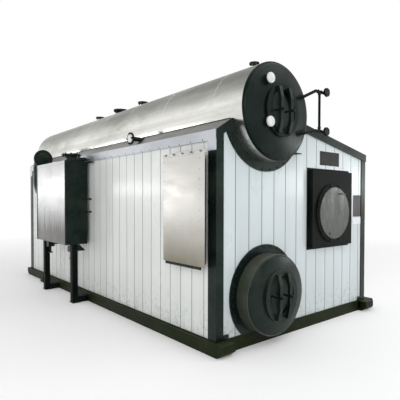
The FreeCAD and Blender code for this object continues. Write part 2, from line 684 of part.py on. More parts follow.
def burner_box():
    """Steel box on the front wall, open towards it, with the throat hole in its face."""
    x = BURNER_BOX_WIDTH / 2.0
    z0 = BURNER_HEIGHT + BURNER_BOX_RAISE - BURNER_BOX_HEIGHT / 2.0
    z1 = z0 + BURNER_BOX_HEIGHT
    t = BURNER_BOX_PLATE
    outer = box(BURNER_X - x, BURNER_FACE, z0, BURNER_X + x, CLAD_FRONT, z1)
    inner = box(BURNER_X - x + t, BURNER_FACE + t, z0 + t, BURNER_X + x - t, CLAD_FRONT, z1 - t)
    throat = burner_envelope(BURNER_THROAT / 2.0 + BURNER_THROAT_WALL, BURNER_FACE, CLAD_FRONT)
    return outer.cut(inner).cut(throat)


def burner_throat():
    """Refractory sleeve from the box face through the front wall."""
    y1 = CLAD_FRONT + WALL_THICKNESS
    sleeve = burner_envelope(BURNER_THROAT / 2.0 + BURNER_THROAT_WALL, BURNER_FACE, y1)
    return sleeve.cut(burner_envelope(BURNER_THROAT / 2.0, BURNER_FACE, y1))


def burner_ring():
    """Mounting ring for the burner, on the box face."""
    y0 = BURNER_FACE - BURNER_RING_DEPTH
    ring = burner_envelope(BURNER_RING / 2.0, y0, BURNER_FACE)
    return ring.cut(burner_envelope(BURNER_THROAT / 2.0, y0, BURNER_FACE))


def burner_cover():
    """Round blank bolted over the mounting ring."""
    y1 = BURNER_FACE - BURNER_RING_DEPTH
    return burner_envelope(BURNER_COVER / 2.0, y1 - BURNER_COVER_THICKNESS, y1)


def cover_handle():
    """Bow handle near the top right of the burner cover."""
    y1 = BURNER_FACE - BURNER_RING_DEPTH - BURNER_COVER_THICKNESS
    x = BURNER_X + HANDLE_RIGHT
    z = BURNER_HEIGHT + HANDLE_UP
    half = HANDLE_LENGTH / 2.0
    points = [Vector(x - half, y1, z), Vector(x - half, y1 - HANDLE_RISE, z),
              Vector(x + half, y1 - HANDLE_RISE, z), Vector(x + half, y1, z)]
    return bent_pipe(points, 2.0 * HANDLE_BAR, HANDLE_BAR)


# ---------------------------------------------------------------- flue outlet
FLUE_Y = Y_FRONT + FLUE_FROM_FRONT
FLUE_FACE = X_LEFT - FLUE_REACH


def flue_box(x0, x1, inset):
    """A block on the flue outlet, its edges inset from the flange."""
    return box(x0, FLUE_Y + inset, FLUE_BOTTOM + inset, x1, FLUE_Y + FLUE_WIDTH - inset,
               FLUE_BOTTOM + FLUE_HEIGHT - inset)


def duct_envelope():
    """The duct's outside, from the flange through the left wall."""
    return flue_box(FLUE_FACE, CLAD_LEFT + WALL_THICKNESS, FLUE_FLANGE)


def flue_duct():
    """Rectangular duct through the left wall with a flange round its mouth."""
    rim = flue_box(FLUE_FACE, FLUE_FACE + FLUE_FLANGE_THICKNESS, 0)
    bore = flue_box(FLUE_FACE, CLAD_LEFT + WALL_THICKNESS, FLUE_FLANGE + FLUE_DUCT_WALL)
    return duct_envelope().fuse(rim).cut(bore).removeSplitter()


def flue_cover():
    """Sheet that blanks the flue outlet."""
    return box(FLUE_FACE - FLUE_COVER_THICKNESS, FLUE_Y - FLUE_COVER_AHEAD,
               FLUE_BOTTOM + FLUE_COVER_SHORT, FLUE_FACE, FLUE_Y + FLUE_WIDTH + FLUE_COVER_BEHIND,
               FLUE_BOTTOM + FLUE_HEIGHT)


def flue_bar():
    """Bright bar along the top edge of the flange and its cover."""
    z0 = FLUE_BOTTOM + FLUE_HEIGHT
    x0 = FLUE_FACE - FLUE_COVER_THICKNESS
    return box(x0, FLUE_Y - FLUE_COVER_AHEAD, z0, x0 + FLUE_BAR_DEPTH,
               FLUE_Y + FLUE_WIDTH + FLUE_COVER_BEHIND, z0 + FLUE_BAR_HEIGHT)


# ---------------------------------------------------------------- economizer
def economizer_casing():
    """Insulated wrap between the two end plates, a hollow box open at both ends."""
    y0 = ECO_FRONT + ECO_PLATE
    y1 = ECO_REAR - ECO_PLATE
    t = ECO_WALL
    outer = box(ECO_OUTER, y0, ECO_BOTTOM, ECO_INNER, y1, ECO_TOP)
    return outer.cut(box(ECO_OUTER + t, y0, ECO_BOTTOM + t, ECO_INNER - t, y1, ECO_TOP - t))


def economizer_plate(y0):
    """End plate of the economizer."""
    return box(ECO_OUTER, y0, ECO_BOTTOM, ECO_INNER, y0 + ECO_PLATE, ECO_TOP)


def economizer_front_plate():
    """Front end plate with its two thermometer pockets."""
    x = ECO_INNER - PIN_FROM_WALL
    y1 = ECO_FRONT - PIN_LENGTH
    plate = economizer_plate(ECO_FRONT)
    for z in PIN_HEIGHTS:
        pin = rod(Vector(x, y1, z), Vector(x, ECO_FRONT, z), PIN_RADIUS)
        plate = plate.fuse([pin, rod(Vector(x, y1 - 2.0 * PIN_HEAD, z), Vector(x, y1, z), PIN_HEAD)])
    return plate.removeSplitter()


def economizer_leg(y0):
    """Leg and the foot that ties it to the skid, one welded piece."""
    leg = box(LEG_X, y0, FOOT_HEIGHT, LEG_X + LEG_SIZE, y0 + LEG_SIZE, ECO_BOTTOM)
    foot = box(LEG_X, y0, 0, SKID_LEFT, y0 + LEG_SIZE, FOOT_HEIGHT)
    return leg.fuse(foot).removeSplitter()


def economizer_inlet():
    """Flanged stub on top of the economizer."""
    y = ECO_FRONT + ECO_INLET_BACK
    return nozzle(Vector(ECO_X, y, ECO_TOP), Vector(ECO_X, y, ECO_TOP + ECO_INLET_REACH), Z_AXIS,
                  FLANGE_150)


def economizer_outlet():
    """Bend from the rear plate up and over to a flange that looks forward."""
    face = Vector(ECO_X, ECO_REAR + ECO_OUTLET_BACK, ECO_OUTLET_HEIGHT)
    back = ECO_REAR + ECO_OUTLET_BACK + FLANGE_200[4] + ECO_OUTLET_BEND * 1.1
    low = ECO_OUTLET_HEIGHT - ECO_OUTLET_DROP
    points = [face + Y_AXIS * FLANGE_200[4], Vector(ECO_X, back, ECO_OUTLET_HEIGHT),
              Vector(ECO_X, back, low), Vector(ECO_X, ECO_REAR, low)]
    pipe = bent_pipe(points, ECO_OUTLET_BEND, FLANGE_200[5] / 2.0)
    return pipe.fuse(flange(face, Y_AXIS * -1.0, FLANGE_200)).removeSplitter()


def drain_valve(y, way):
    """Drain under the economizer: flanged stub, valve body, outlet and lever."""
    z = ECO_BOTTOM
    body = box(ECO_X - 55, y - 55, z - 130, ECO_X + 55, y + 55, z - 35)
    neck = rod(Vector(ECO_X, y, z - 40), Vector(ECO_X, y, z), FLANGE_50[5] / 2.0)
    outlet = rod(Vector(ECO_X, y, z - 235), Vector(ECO_X, y, z - 125), 15.0)
    foot = rod(Vector(ECO_X, y, z - 245), Vector(ECO_X, y, z - 231), 42.0)
    spindle = rod(Vector(ECO_X, y + way * 50, z - 80), Vector(ECO_X, y + way * 85, z - 80), 9.0)
    lever = box(ECO_X - 9, y + way * 85 - 6, z - 89, ECO_X + 120, y + way * 85 + 6, z - 71)
    return body.fuse([neck, outlet, foot, spindle, lever]).removeSplitter()


# ---------------------------------------------------------------- plates on the front wall
def wall_plate(place):
    """A thin blank plate on the front cladding."""
    x, z, width, height = place
    x0 = X_RIGHT - x
    return box(x0, CLAD_FRONT - PLATE_THICKNESS, z, x0 + width, CLAD_FRONT, z + height)


# ---------------------------------------------------------------- every piece by its name
def base_pieces():
    """Skid beams with their lugs, cross beams and floor."""
    front_lug = lug(SKID_RIGHT, X_RIGHT + LUG_REACH, Y_FRONT - LUG_AHEAD)
    left_lug = lug(X_LEFT - LUG_REACH_LEFT, SKID_LEFT, Y_REAR - LUG_LEFT_FROM_REAR - LUG_LENGTH)
    return {
        "skid_left": skid(SKID_LEFT, SKID_LEFT + BEAM_WIDTH, [left_lug]),
        "skid_right": skid(SKID_RIGHT, SKID_RIGHT - BEAM_WIDTH, [front_lug, rear(front_lug)]),
        "cross_beam_front": cross_beam(0),
        "cross_beam_second": cross_beam(1),
        "cross_beam_third": rear(cross_beam(1)),
        "cross_beam_rear": rear(cross_beam(0)),
        "floor_plate": floor_plate(),
    }


def casing_pieces():
    """Posts, walls, roof and trims."""
    throat = burner_envelope(BURNER_THROAT / 2.0 + BURNER_THROAT_WALL, BURNER_FACE, 0)
    return {
        "post_front_left": post(True),
        "post_front_right": post(False),
        "post_rear_left": rear(post(True)),
        "post_rear_right": rear(post(False)),
        "wall_front": end_wall().cut(throat),
        "wall_rear": rear(end_wall()),
        "wall_left": left_wall(),
        "wall_right": right_wall(),
        "roof_right": roof_right(),
        "flashing_left": flashing(),
        "rake_front": RAKE,
        "rake_rear": rear(RAKE),
        "eave_trim_left": eave_trim_left(),
        "eave_trim_right": eave_trim_right(),
        "wall_plates": Part.makeCompound([wall_plate(p) for p in WALL_PLATES]),
    }


def drum_pieces():
    """Both drums, the nozzles along the steam drum, and the heads and collars at both ends."""
    shell = drum_tube(STEAM_DRUM_HEIGHT, STEAM_HEAD_RADIUS, DRUM_WALL)
    jacket = drum_tube(STEAM_DRUM_HEIGHT, STEAM_DRUM_RADIUS, STEAM_DRUM_JACKET)
    nozzles = {name: top_nozzle(*place) for name, place in TOP_NOZZLES.items()}
    nozzles["feed_nozzle"] = feed_nozzle()
    for piece in nozzles.values():
        shell = shell.cut(piece)
        jacket = jacket.cut(piece)
    steam_head = dished_head(STEAM_DRUM_HEIGHT, STEAM_HEAD_RADIUS)
    mud_head = dished_head(MUD_DRUM_HEIGHT, MUD_DRUM_RADIUS)
    stubs = [level_nozzle(rise) for rise in (LEVEL_NOZZLE_TOP, LEVEL_NOZZLE_BOTTOM)]
    covers = [flange_cover(level_nozzle_face(rise), Y_AXIS * -1.0, FLANGE_40)
              for rise in (LEVEL_NOZZLE_TOP, LEVEL_NOZZLE_BOTTOM)]
    covers.append(flange_cover(feed_face(), X_AXIS * -1.0, FLANGE_50))
    pieces = {
        "steam_drum_shell": shell,
        "steam_drum_jacket": jacket,
        "mud_drum_shell": drum_tube(MUD_DRUM_HEIGHT, MUD_DRUM_RADIUS, DRUM_WALL),
        "steam_head_front": steam_head.fuse(stubs).removeSplitter(),
        "steam_head_rear": rear(steam_head),
        "mud_head_front": mud_head,
        "mud_head_rear": rear(mud_head),
        "steam_manhole_front": manhole(STEAM_DRUM_HEIGHT),
        "steam_manhole_rear": rear(manhole(STEAM_DRUM_HEIGHT)),
        "mud_manhole_front": manhole(MUD_DRUM_HEIGHT),
        "mud_manhole_rear": rear(manhole(MUD_DRUM_HEIGHT)),
        "steam_collar_front": steam_collar().fuse(collar_tab()).removeSplitter(),
        "steam_collar_rear": rear(steam_collar()),
        "mud_collar_front": mud_collar(),
        "mud_collar_rear": rear(mud_collar()),
        "nozzle_covers": Part.makeCompound(covers),
        "level_column": level_column(),
    }
    pieces.update(nozzles)
    return pieces


def opening_pieces():
    """Burner opening and flue outlet."""
    return {
        "burner_box": burner_box(),
        "burner_throat": burner_throat(),
        "burner_ring": burner_ring(),
        "burner_cover": burner_cover().fuse(cover_handle()).removeSplitter(),
        "flue_duct": flue_duct(),
        "flue_cover": flue_cover(),
        "flue_bar": flue_bar(),
    }


def economizer_pieces():
    """Economizer on its legs, with its pipe connections."""
    inset = LEG_SIZE * 2.0
    return {
        "economizer_casing": economizer_casing(),
        "economizer_plate_front": economizer_front_plate(),
        "economizer_plate_rear": economizer_plate(ECO_REAR - ECO_PLATE),
        "economizer_leg_front": economizer_leg(ECO_FRONT),
        "economizer_leg_rear": economizer_leg(ECO_REAR - LEG_SIZE),
        "economizer_inlet": economizer_inlet(),
        "economizer_outlet": economizer_outlet(),
        "drain_valve_front": drain_valve(ECO_FRONT + inset, 1.0),
        "drain_valve_rear": drain_valve(ECO_REAR - inset, -1.0),
    }


def main():
    """Writes one STEP file per piece."""
    os.makedirs("parts", exist_ok=True)
    groups = (base_pieces(), casing_pieces(), drum_pieces(), opening_pieces(), economizer_pieces())
    for group in groups:
        for name, shape in group.items():
            shape.exportStep(os.path.join("parts", name + ".step"))


main()
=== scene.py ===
# %% [markdown]
# # Packaged water-tube boiler
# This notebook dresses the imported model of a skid-mounted steam boiler. The solids carry the real
# sizes. Here every surface gets its finish, and the pieces that only the eye needs, such as
# cladding planks, bolts and seams, are modelled around the solids.

# %% Load the frame
import json
import math

import bmesh
import bpy
from mathutils import Matrix, Vector


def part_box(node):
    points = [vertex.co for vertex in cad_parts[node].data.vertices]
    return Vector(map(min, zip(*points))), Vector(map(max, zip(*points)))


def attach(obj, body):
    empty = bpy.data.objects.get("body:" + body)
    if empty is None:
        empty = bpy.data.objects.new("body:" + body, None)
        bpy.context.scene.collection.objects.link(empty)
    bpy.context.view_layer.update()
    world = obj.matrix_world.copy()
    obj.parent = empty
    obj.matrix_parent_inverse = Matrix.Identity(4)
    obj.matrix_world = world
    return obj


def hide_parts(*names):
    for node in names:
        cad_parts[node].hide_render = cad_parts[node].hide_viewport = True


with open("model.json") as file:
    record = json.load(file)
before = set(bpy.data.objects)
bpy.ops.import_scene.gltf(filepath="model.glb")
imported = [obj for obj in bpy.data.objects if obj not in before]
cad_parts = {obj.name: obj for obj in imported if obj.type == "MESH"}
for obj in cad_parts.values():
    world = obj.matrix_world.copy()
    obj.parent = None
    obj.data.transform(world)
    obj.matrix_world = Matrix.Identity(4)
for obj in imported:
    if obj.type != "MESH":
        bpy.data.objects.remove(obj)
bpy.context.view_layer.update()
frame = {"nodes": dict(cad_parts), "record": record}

# %% [markdown]
# ## Camera, floor and light
# A boiler of this size is seen from standing height, off its front left corner. The camera is
# placed from that corner, so it follows the model. A bright surround stands for a white studio. It
# greys overhead, so that the drum's top is darker than its side. Four soft lamps draw the long
# highlights on sheet metal and enamel, which a plain surround alone would leave like grey paint.

# %% Places and camera
LEFT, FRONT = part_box("post_front_left")[0][:2]
RIGHT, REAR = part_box("post_rear_right")[1][:2]
CORNER = Vector((LEFT, FRONT, 0.0))


def at(x, y, z):
    """A point by its distance from the front left corner post, in metres."""
    return Vector((LEFT + x, FRONT + y, z))


CAMERA_STAND = Vector((-2.755, -3.124, 1.621))
CAMERA_YAW = math.radians(40.06)
CAMERA_PITCH = math.radians(1.17)
CAMERA_ROLL = math.radians(0.10)
SENSOR = 36.0
LENS = 36.4
SHIFT = (-0.0168, 0.0223)
VIEW_END = 100.0


def place_camera():
    ahead = Vector((math.sin(CAMERA_YAW) * math.cos(CAMERA_PITCH),
                    math.cos(CAMERA_YAW) * math.cos(CAMERA_PITCH), -math.sin(CAMERA_PITCH)))
    level = Vector((math.cos(CAMERA_YAW), -math.sin(CAMERA_YAW), 0.0))
    upright = level.cross(ahead)
    right = level * math.cos(CAMERA_ROLL) + upright * math.sin(CAMERA_ROLL)
    up = upright * math.cos(CAMERA_ROLL) - level * math.sin(CAMERA_ROLL)
    data = bpy.data.cameras.new("camera")
    data.sensor_width, data.lens, data.clip_end = SENSOR, LENS, VIEW_END
    data.shift_x, data.shift_y = SHIFT
    camera = bpy.data.objects.new("camera", data)
    turn = Matrix((right, up, -ahead)).transposed().to_4x4()
    camera.matrix_world = Matrix.Translation(CORNER + CAMERA_STAND) @ turn
    bpy.context.scene.collection.objects.link(camera)
    bpy.context.scene.camera = camera


place_camera()
print("front left corner:", tuple(CORNER))

# %% Studio
WHITE, OVERHEAD_GREY = (1, 1, 1, 1), (0.42, 0.42, 0.42, 1)
WHITE_UNTIL, GREY_FROM = 0.46, 0.9   # heights on the surround, 0 straight down and 1 straight up

scene = bpy.context.scene
scene.view_settings.view_transform = "Standard"


def light_surround():
    world = bpy.data.worlds.new("studio")
    world.use_nodes = True
    nodes, links = world.node_tree.nodes, world.node_tree.links
    surround = nodes["Background"]
    surround.inputs["Strength"].default_value = 1.0
    heading = nodes.new("ShaderNodeTexCoord")
    split = nodes.new("ShaderNodeSeparateXYZ")
    dimmer = nodes.new("ShaderNodeValToRGB")
    white, grey = dimmer.color_ramp.elements
    white.position, white.color = WHITE_UNTIL, WHITE
    grey.position, grey.color = GREY_FROM, OVERHEAD_GREY
    links.new(heading.outputs["Generated"], split.inputs[0])
    links.new(split.outputs["Z"], dimmer.inputs["Fac"])
    links.new(dimmer.outputs["Color"], surround.inputs["Color"])
    scene.world = world


def soft_lamp(name, place, target, width, height, power):
    data = bpy.data.lights.new(name, "AREA")
    data.shape, data.size, data.size_y, data.energy = "RECTANGLE", width, height, power
    lamp = bpy.data.objects.new(name, data)
    heading = (Vector(target) - Vector(place)).to_track_quat("-Z", "Y")
    lamp.matrix_world = Matrix.Translation(place) @ heading.to_matrix().to_4x4()
    scene.collection.objects.link(lamp)


light_surround()
soft_lamp("lamp_front_left", (-8.0, -7.5, 5.5), (0.0, 0.0, 1.5), 5.0, 3.0, 170.0)
soft_lamp("lamp_overhead", (2.0, -7.0, 8.5), (0.0, -2.0, 0.0), 8.0, 5.0, 200.0)
soft_lamp("lamp_side_band", at(-5.5, 11.5, 2.1), at(0.0, 3.0, 1.6), 5.0, 0.5, 45.0)
soft_lamp("lamp_front_band", at(9.0, -4.2, 2.2), at(2.0, 0.0, 1.7), 3.5, 0.8, 60.0)
print("lamps:", len(bpy.data.lights))

# %% [markdown]
# ## Small helpers for finishes
# A finish is a Principled shader with patterns that change over the metal. Long chains of Math
# nodes are hard to read, so a signal wraps a socket and lets ordinary sums add those nodes. One
# method adds every other node, and three patterns built on it serve all the finishes.

# %% Signal and finish
class Signal:
    """A socket of a finish that takes part in ordinary sums."""

    def __init__(self, finish, socket):
        self.finish, self.socket = finish, socket

    def sum(self, operation, first, second):
        return self.finish.node("Math", {"operation": operation}, {0: first, 1: second})

    def __add__(self, other): return self.sum("ADD", self, other)
    def __sub__(self, other): return self.sum("SUBTRACT", self, other)
    def __mul__(self, other): return self.sum("MULTIPLY", self, other)
    def __truediv__(self, other): return self.sum("DIVIDE", self, other)


class Finish:
    """A named material with its Principled shader."""

    def __init__(self, name, metallic=0.0, roughness=0.5, coat=0.0):
        self.material = bpy.data.materials.new(name)
        self.material.use_nodes = True
        self.tree = self.material.node_tree
        self.shader = self.tree.nodes["Principled BSDF"]
        self.shader.inputs["Metallic"].default_value = metallic
        self.shader.inputs["Roughness"].default_value = roughness
        self.shader.inputs["Coat Weight"].default_value = coat
        self.shader.inputs["Coat Roughness"].default_value = 0.12

    def node(self, kind, settings, values, out=0):
        """Adds one node: its settings first, then values or links for its sockets."""
        node = self.tree.nodes.new("ShaderNode" + kind)
        for key, value in settings.items():
            setattr(node, key, value)
        for key, value in values.items():
            if isinstance(value, Signal):
                self.tree.links.new(value.socket, node.inputs[key])
            else:
                node.inputs[key].default_value = value
        return Signal(self, node.outputs[out])

    def wear(self, **sockets):
        """Links patterns to the shader, by socket name with underscores for spaces."""
        for name, signal in sockets.items():
            self.tree.links.new(signal.socket, self.shader.inputs[name.replace("_", " ")])
        return self.material

    def stretch(self, x=1.0, y=1.0, z=1.0):
        """Object coordinates in metres, stretched along each axis."""
        place = self.node("TexCoord", {}, {}, "Object")
        return self.node("Mapping", {}, {"Vector": place, "Scale": (x, y, z)})

    def noise(self, scale, stretch=(1.0, 1.0, 1.0), detail=4.0, rough=0.55, lean=0.0):
        """Cloudy pattern from 0 to 1."""
        return self.node("TexNoise", {}, {"Vector": self.stretch(*stretch), "Scale": scale,
                                          "Detail": detail, "Roughness": rough,
                                          "Distortion": lean}, "Fac")

    def fade(self, signal, low, high, start=0.0, end=1.0):
        """Runs from start to end while the signal runs from low to high, flat outside."""
        return self.node("MapRange", {"clamp": True},
                         {"Value": signal, "From Min": low, "From Max": high, "To Min": start,
                          "To Max": end})

    def axis(self, name):
        """One object coordinate in metres."""
        place = self.node("TexCoord", {}, {}, "Object")
        return self.node("SeparateXYZ", {}, {"Vector": place}, name)

    def upward(self):
        """How far the surface looks up: 1 on a floor, 0 on a wall."""
        normal = self.node("NewGeometry", {}, {}, "Normal")
        return self.node("SeparateXYZ", {}, {"Vector": normal}, "Z")

    def blend(self, amount, first, second):
        """Mixes two colours, or colour signals, by an amount from 0 to 1."""
        node = {0: amount, 6: self.colour(first), 7: self.colour(second)}
        return self.node("Mix", {"data_type": "RGBA"}, node, 2)

    def colour(self, value):
        return value if isinstance(value, Signal) else (*value, 1.0)

    def bump(self, height, distance, strength=1.0):
        """Small relief, in metres."""
        return self.node("Bump", {}, {"Height": height, "Distance": distance,
                                      "Strength": strength})


print("helpers for finishes ready")

# %% [markdown]
# ## Floor
# The floor is pale and lit softly from within, more so further away. There it fades into the
# surround, so no horizon shows behind the boiler.

# %% Floor
FLOOR_REACH = 30.0
GLOW_NEAR, GLOW_FAR = (0.12, 0.12, 0.12), (0.34, 0.34, 0.34)
GLOW_RANGE = (30.0, 200.0)   # squares of the distance from the boiler, in square metres


def lay_floor():
    shape = bmesh.new()
    bmesh.ops.create_grid(shape, x_segments=1, y_segments=1, size=FLOOR_REACH)
    mesh = bpy.data.meshes.new("floor")
    shape.to_mesh(mesh)
    shape.free()
    floor = bpy.data.objects.new("floor", mesh)
    scene.collection.objects.link(floor)
    f = Finish("floor_pale", roughness=0.6)
    tone = f.blend(f.noise(0.5), (0.93, 0.93, 0.93), (0.96, 0.96, 0.96))
    f.shader.inputs["Emission Strength"].default_value = 1.0
    away = f.axis("X") * f.axis("X") + f.axis("Y") * f.axis("Y")
    glow = f.blend(f.fade(away, *GLOW_RANGE), GLOW_NEAR, GLOW_FAR)
    mesh.materials.append(f.wear(Base_Color=tone, Emission_Color=glow))
    return floor


print("staged", lay_floor().name)

# %% [markdown]
# ## White cladding
# The casing is clad in white coil-coated sheet. The coat is glossy and even, with very fine
# rolled-in ribs, faint hand marks and grey dirt that runs down from the eaves, and it greys
# towards the bottom. Each plank is a little lighter or darker as painted reflection, and the front
# wall's copy is tinted darker and bluer than the side's as painted shade and sheen. Streaks come
# from noise stretched along Z, and the ribs are relief only, because they are under a millimetre
# deep. The joints between planks are cut into the mesh further down.

# %% Cladding finishes
PLANK_PITCH = 0.21
RIB_PITCH = 0.035
FRONT_LINE = LEFT - 0.134      # a joint of the front and rear walls, along X
LEFT_LINE = FRONT + 0.2136     # a joint of the side walls, along Y


def cladding_finish(name, along, first_line, tint):
    f = Finish(name, roughness=0.3, coat=0.3)
    clouds = f.noise(1.3, detail=6.0)
    streaks = f.noise(9.0, (1.0, 1.0, 0.06), detail=5.0)
    across = f.axis(along) - first_line
    plank = f.node("Math", {"operation": "FLOOR"}, {0: across / PLANK_PITCH})
    # Painted reflection: each plank is a little lighter or darker, as if its sheen differed.
    plank_sheen = f.node("TexWhiteNoise", {"noise_dimensions": "1D"}, {"W": plank}, "Value")
    # Greyer towards the bottom.
    low = f.fade(f.axis("Z"), 0.15, 0.75, 1.0, 0.0)
    dirt_and_low_grey = f.fade(clouds * 0.5 + streaks * 0.5 + low * 0.22, 0.42, 0.85, 0.0, 0.5)
    cream = f.blend(plank_sheen * 0.6, tint, [c * 0.93 for c in tint])
    splash = f.fade(f.noise(26.0, detail=3.0) + low * 0.2, 0.66, 0.8, 0.0, 0.35)
    dusty = f.blend(dirt_and_low_grey, cream, (0.42, 0.45, 0.44))
    colour = f.blend(splash * low, dusty, (0.2, 0.2, 0.17))
    seam = f.node("Math", {"operation": "PINGPONG"}, {0: across / PLANK_PITCH, 1: 0.5})
    colour = f.blend(f.fade(seam, 0.018, 0.034, 0.8, 0.0), colour, (0.12, 0.13, 0.13))
    rib = f.node("Math", {"operation": "PINGPONG"}, {0: across / RIB_PITCH, 1: 0.5})
    dents = f.noise(2.2, (1.0, 1.0, 0.5), detail=2.0)
    height = f.fade(rib, 0.0, 0.09) * 0.12 + dents
    rough = f.fade(clouds + streaks * 0.4, 0.3, 1.1, 0.2, 0.42)
    return f.wear(Base_Color=colour, Roughness=rough, Normal=f.bump(height, 0.004, 0.5))


# The same sheet in two copies: the front one is tinted darker and bluer, as painted shade and
# bluish sheen.
CLAD_FRONT = cladding_finish("cladding_white_front", "X", FRONT_LINE, (0.56, 0.625, 0.64))
CLAD_SIDE = cladding_finish("cladding_white_side", "Y", LEFT_LINE, (0.70, 0.72, 0.695))
print("cladding:", CLAD_FRONT.name, CLAD_SIDE.name)

# %% [markdown]
# ## Black-green enamel
# Posts, rear heads and most pipework share one air-drying enamel, black with a green cast. It is
# semi-gloss, has orange peel from the roller, collects pale dust on ledges and rubs thin in
# places. The skid is an olive shade of it. The mud drum's shell is a copy tinted much lighter
# olive, as painted sheen. The front head is a darker copy as painted shade, a little glossier,
# and the burner box, its ring, the economizer's legs and the level pipes are a matt, nearly black
# copy, darker as painted shade.

# %% Enamels
GREEN_CAST = (0.75, 1.0, 0.88, 1.0)


def enamel_finish(name, tint, dust, dusty, gloss, shine=0.2):
    """Dusty is how much dust lies near the ground; gloss is the least roughness."""
    f = Finish(name, roughness=gloss)
    f.shader.inputs["Specular IOR Level"].default_value = shine
    f.shader.inputs["Specular Tint"].default_value = GREEN_CAST
    clouds = f.noise(3.0, detail=7.0, rough=0.6)
    grain = f.noise(60.0, detail=3.0)
    ledge = f.fade(f.upward(), 0.35, 0.95, 0.0, 0.32)
    film = f.fade(clouds, 0.45, 0.75, 0.0, 0.09)
    worn = f.blend(f.fade(grain * clouds, 0.2, 0.42, 0.0, 0.6), tint, [c * 1.7 for c in tint])
    scuffs = f.fade(f.noise(38.0, (1.0, 1.0, 0.35), detail=6.0, rough=0.75), 0.68, 0.74)
    low = f.fade(f.axis("Z"), 0.0, 0.3, dusty, 0.0)
    film = f.fade(film + ledge * clouds * 1.6 + low * f.fade(grain, 0.35, 0.7), 0.0, 1.0)
    colour = f.blend(scuffs * 0.2, f.blend(film, worn, dust), (0.11, 0.115, 0.105))
    rough = f.fade(clouds * 0.6 + film * 0.8, 0.1, 0.9, gloss - 0.06, gloss + 0.3)
    return f.wear(Base_Color=colour, Roughness=rough,
                  Normal=f.bump(grain * 0.5 + clouds, 0.0012, 0.55))


ENAMEL = enamel_finish("enamel_black_green", (0.0035, 0.0075, 0.0062), (0.15, 0.155, 0.13),
                       0.04, 0.26)
SKID = enamel_finish("enamel_olive_black", (0.0075, 0.0105, 0.002), (0.11, 0.12, 0.07),
                     0.04, 0.45, 0.09)
# A matt, darker copy of the enamel: painted shade on the burner box and its ring, the economizer's
# legs and the level pipes.
MATT_SHADED = enamel_finish("enamel_matt_shaded", (0.002, 0.003, 0.0028), (0.08, 0.085, 0.075),
                     0.0, 0.5, 0.08)
# A much lighter olive copy of the black enamel: painted sheen on the mud drum's shell.
MUD_SHEEN = enamel_finish("enamel_mud_sheen", (0.034, 0.041, 0.029), (0.15, 0.155, 0.13),
                          0.02, 0.36)
# A darker copy of the enamel: painted shade on the front head.
HEAD_SHADED = enamel_finish("enamel_head_shaded", (0.0022, 0.0048, 0.0046), (0.09, 0.1, 0.1),
                     0.0, 0.24, 0.15)
print("enamels:", ", ".join(paint.name for paint in (ENAMEL, SKID, MATT_SHADED, MUD_SHEEN, HEAD_SHADED)))

# %% [markdown]
# ## Sheet metals
# The drum jacket, the flue blank and the economizer wrap are thin stainless sheet with a brushed
# grain. Rolled sheet is never quite flat, so its reflections swim: a slow noise in the relief
# does that. Every steel also carries slow darker patches in its colour, as painted reflection.
# The jacket has painted shade on top, with darker mottle there and long dark streaks along it as
# painted reflection; the flue blank darkens downwards, and the wrap has painted shade low down
# with lighter streaks as painted sheen. The trims are zinc-coated, bluish, with the crystal
# pattern of zinc.

# %% Stainless and zinc
def steel_finish(name, tint, patch_tint, grain, roughness, ripple=0.004, ripple_scale=1.6):
    """The parts of a steel's finish, so that each steel can add its own stains."""
    f = Finish(name, metallic=1.0, roughness=roughness)
    clouds = f.noise(1.7, (1.0, 0.45, 1.0), detail=4.0, rough=0.55)
    brush = f.noise(22.0, grain, detail=3.0)
    reflection_smears = f.noise(6.0, (1.0, 0.35, 1.0), detail=5.0, lean=1.2)
    # Painted reflection: slow darker patches, as if the sheet reflected a patchy room.
    reflection_patches = f.fade(clouds * 0.7 + reflection_smears * 0.3, 0.42, 0.66)
    specks = f.fade(f.noise(55.0, detail=2.0), 0.7, 0.76, 0.0, 0.5)
    colour = f.blend(reflection_patches, tint, patch_tint)
    colour = f.blend(specks * reflection_patches, colour, (0.12, 0.12, 0.11))
    rough = f.fade(brush * 0.4 + reflection_patches * 0.6, 0.1, 0.9, roughness - 0.08, roughness + 0.16)
    swell = f.noise(ripple_scale, detail=1.0)
    return f, colour, rough, f.bump(swell + brush * 0.02, ripple, 0.8)


def plain_steel(name, *args, **kwargs):
    f, colour, rough, relief = steel_finish(name, *args, **kwargs)
    return f.wear(Base_Color=colour, Roughness=rough, Normal=relief)


def jacket_finish():
    f, colour, rough, relief = steel_finish("stainless_jacket", (0.84, 0.835, 0.8),
                                            (0.5, 0.5, 0.46), (0.12, 1.0, 0.12), 0.25, 0.006, 2.2)
    # Painted shade and reflection: the top is darkened, with a darker mottle there, and long
    # streaks along the drum darken it too.
    top = f.fade(f.upward(), 0.12, 0.64)
    streaks = f.fade(f.noise(5.0, (1.0, 0.03, 1.0), detail=3.0), 0.4, 0.62)
    top_reflection_mottle = f.fade(f.noise(7.0, (1.0, 0.12, 1.0), detail=5.0, lean=0.5), 0.35, 0.65)
    colour = f.blend(top * 0.9, colour, (0.3, 0.297, 0.27))
    colour = f.blend(streaks * 0.35, colour, (0.26, 0.26, 0.24))
    colour = f.blend(top * f.fade(top_reflection_mottle, 0.0, 1.0, 0.0, 0.4), colour, (0.15, 0.15, 0.125))
    return f.wear(Base_Color=colour, Roughness=rough + top * 0.14, Normal=relief)


def flue_cover_finish():
    f, colour, rough, relief = steel_finish("stainless_flue_blank", (0.6, 0.585, 0.56),
                                            (0.56, 0.545, 0.515), (1.0, 0.1, 1.0), 0.34, 0.012, 1.1)
    low = f.fade(f.axis("Z") + f.noise(1.6) * 0.5, 1.1, 1.75, 1.0, 0.0)
    colour = f.blend(low, colour, (0.24, 0.215, 0.165))
    return f.wear(Base_Color=colour, Roughness=rough, Normal=relief)


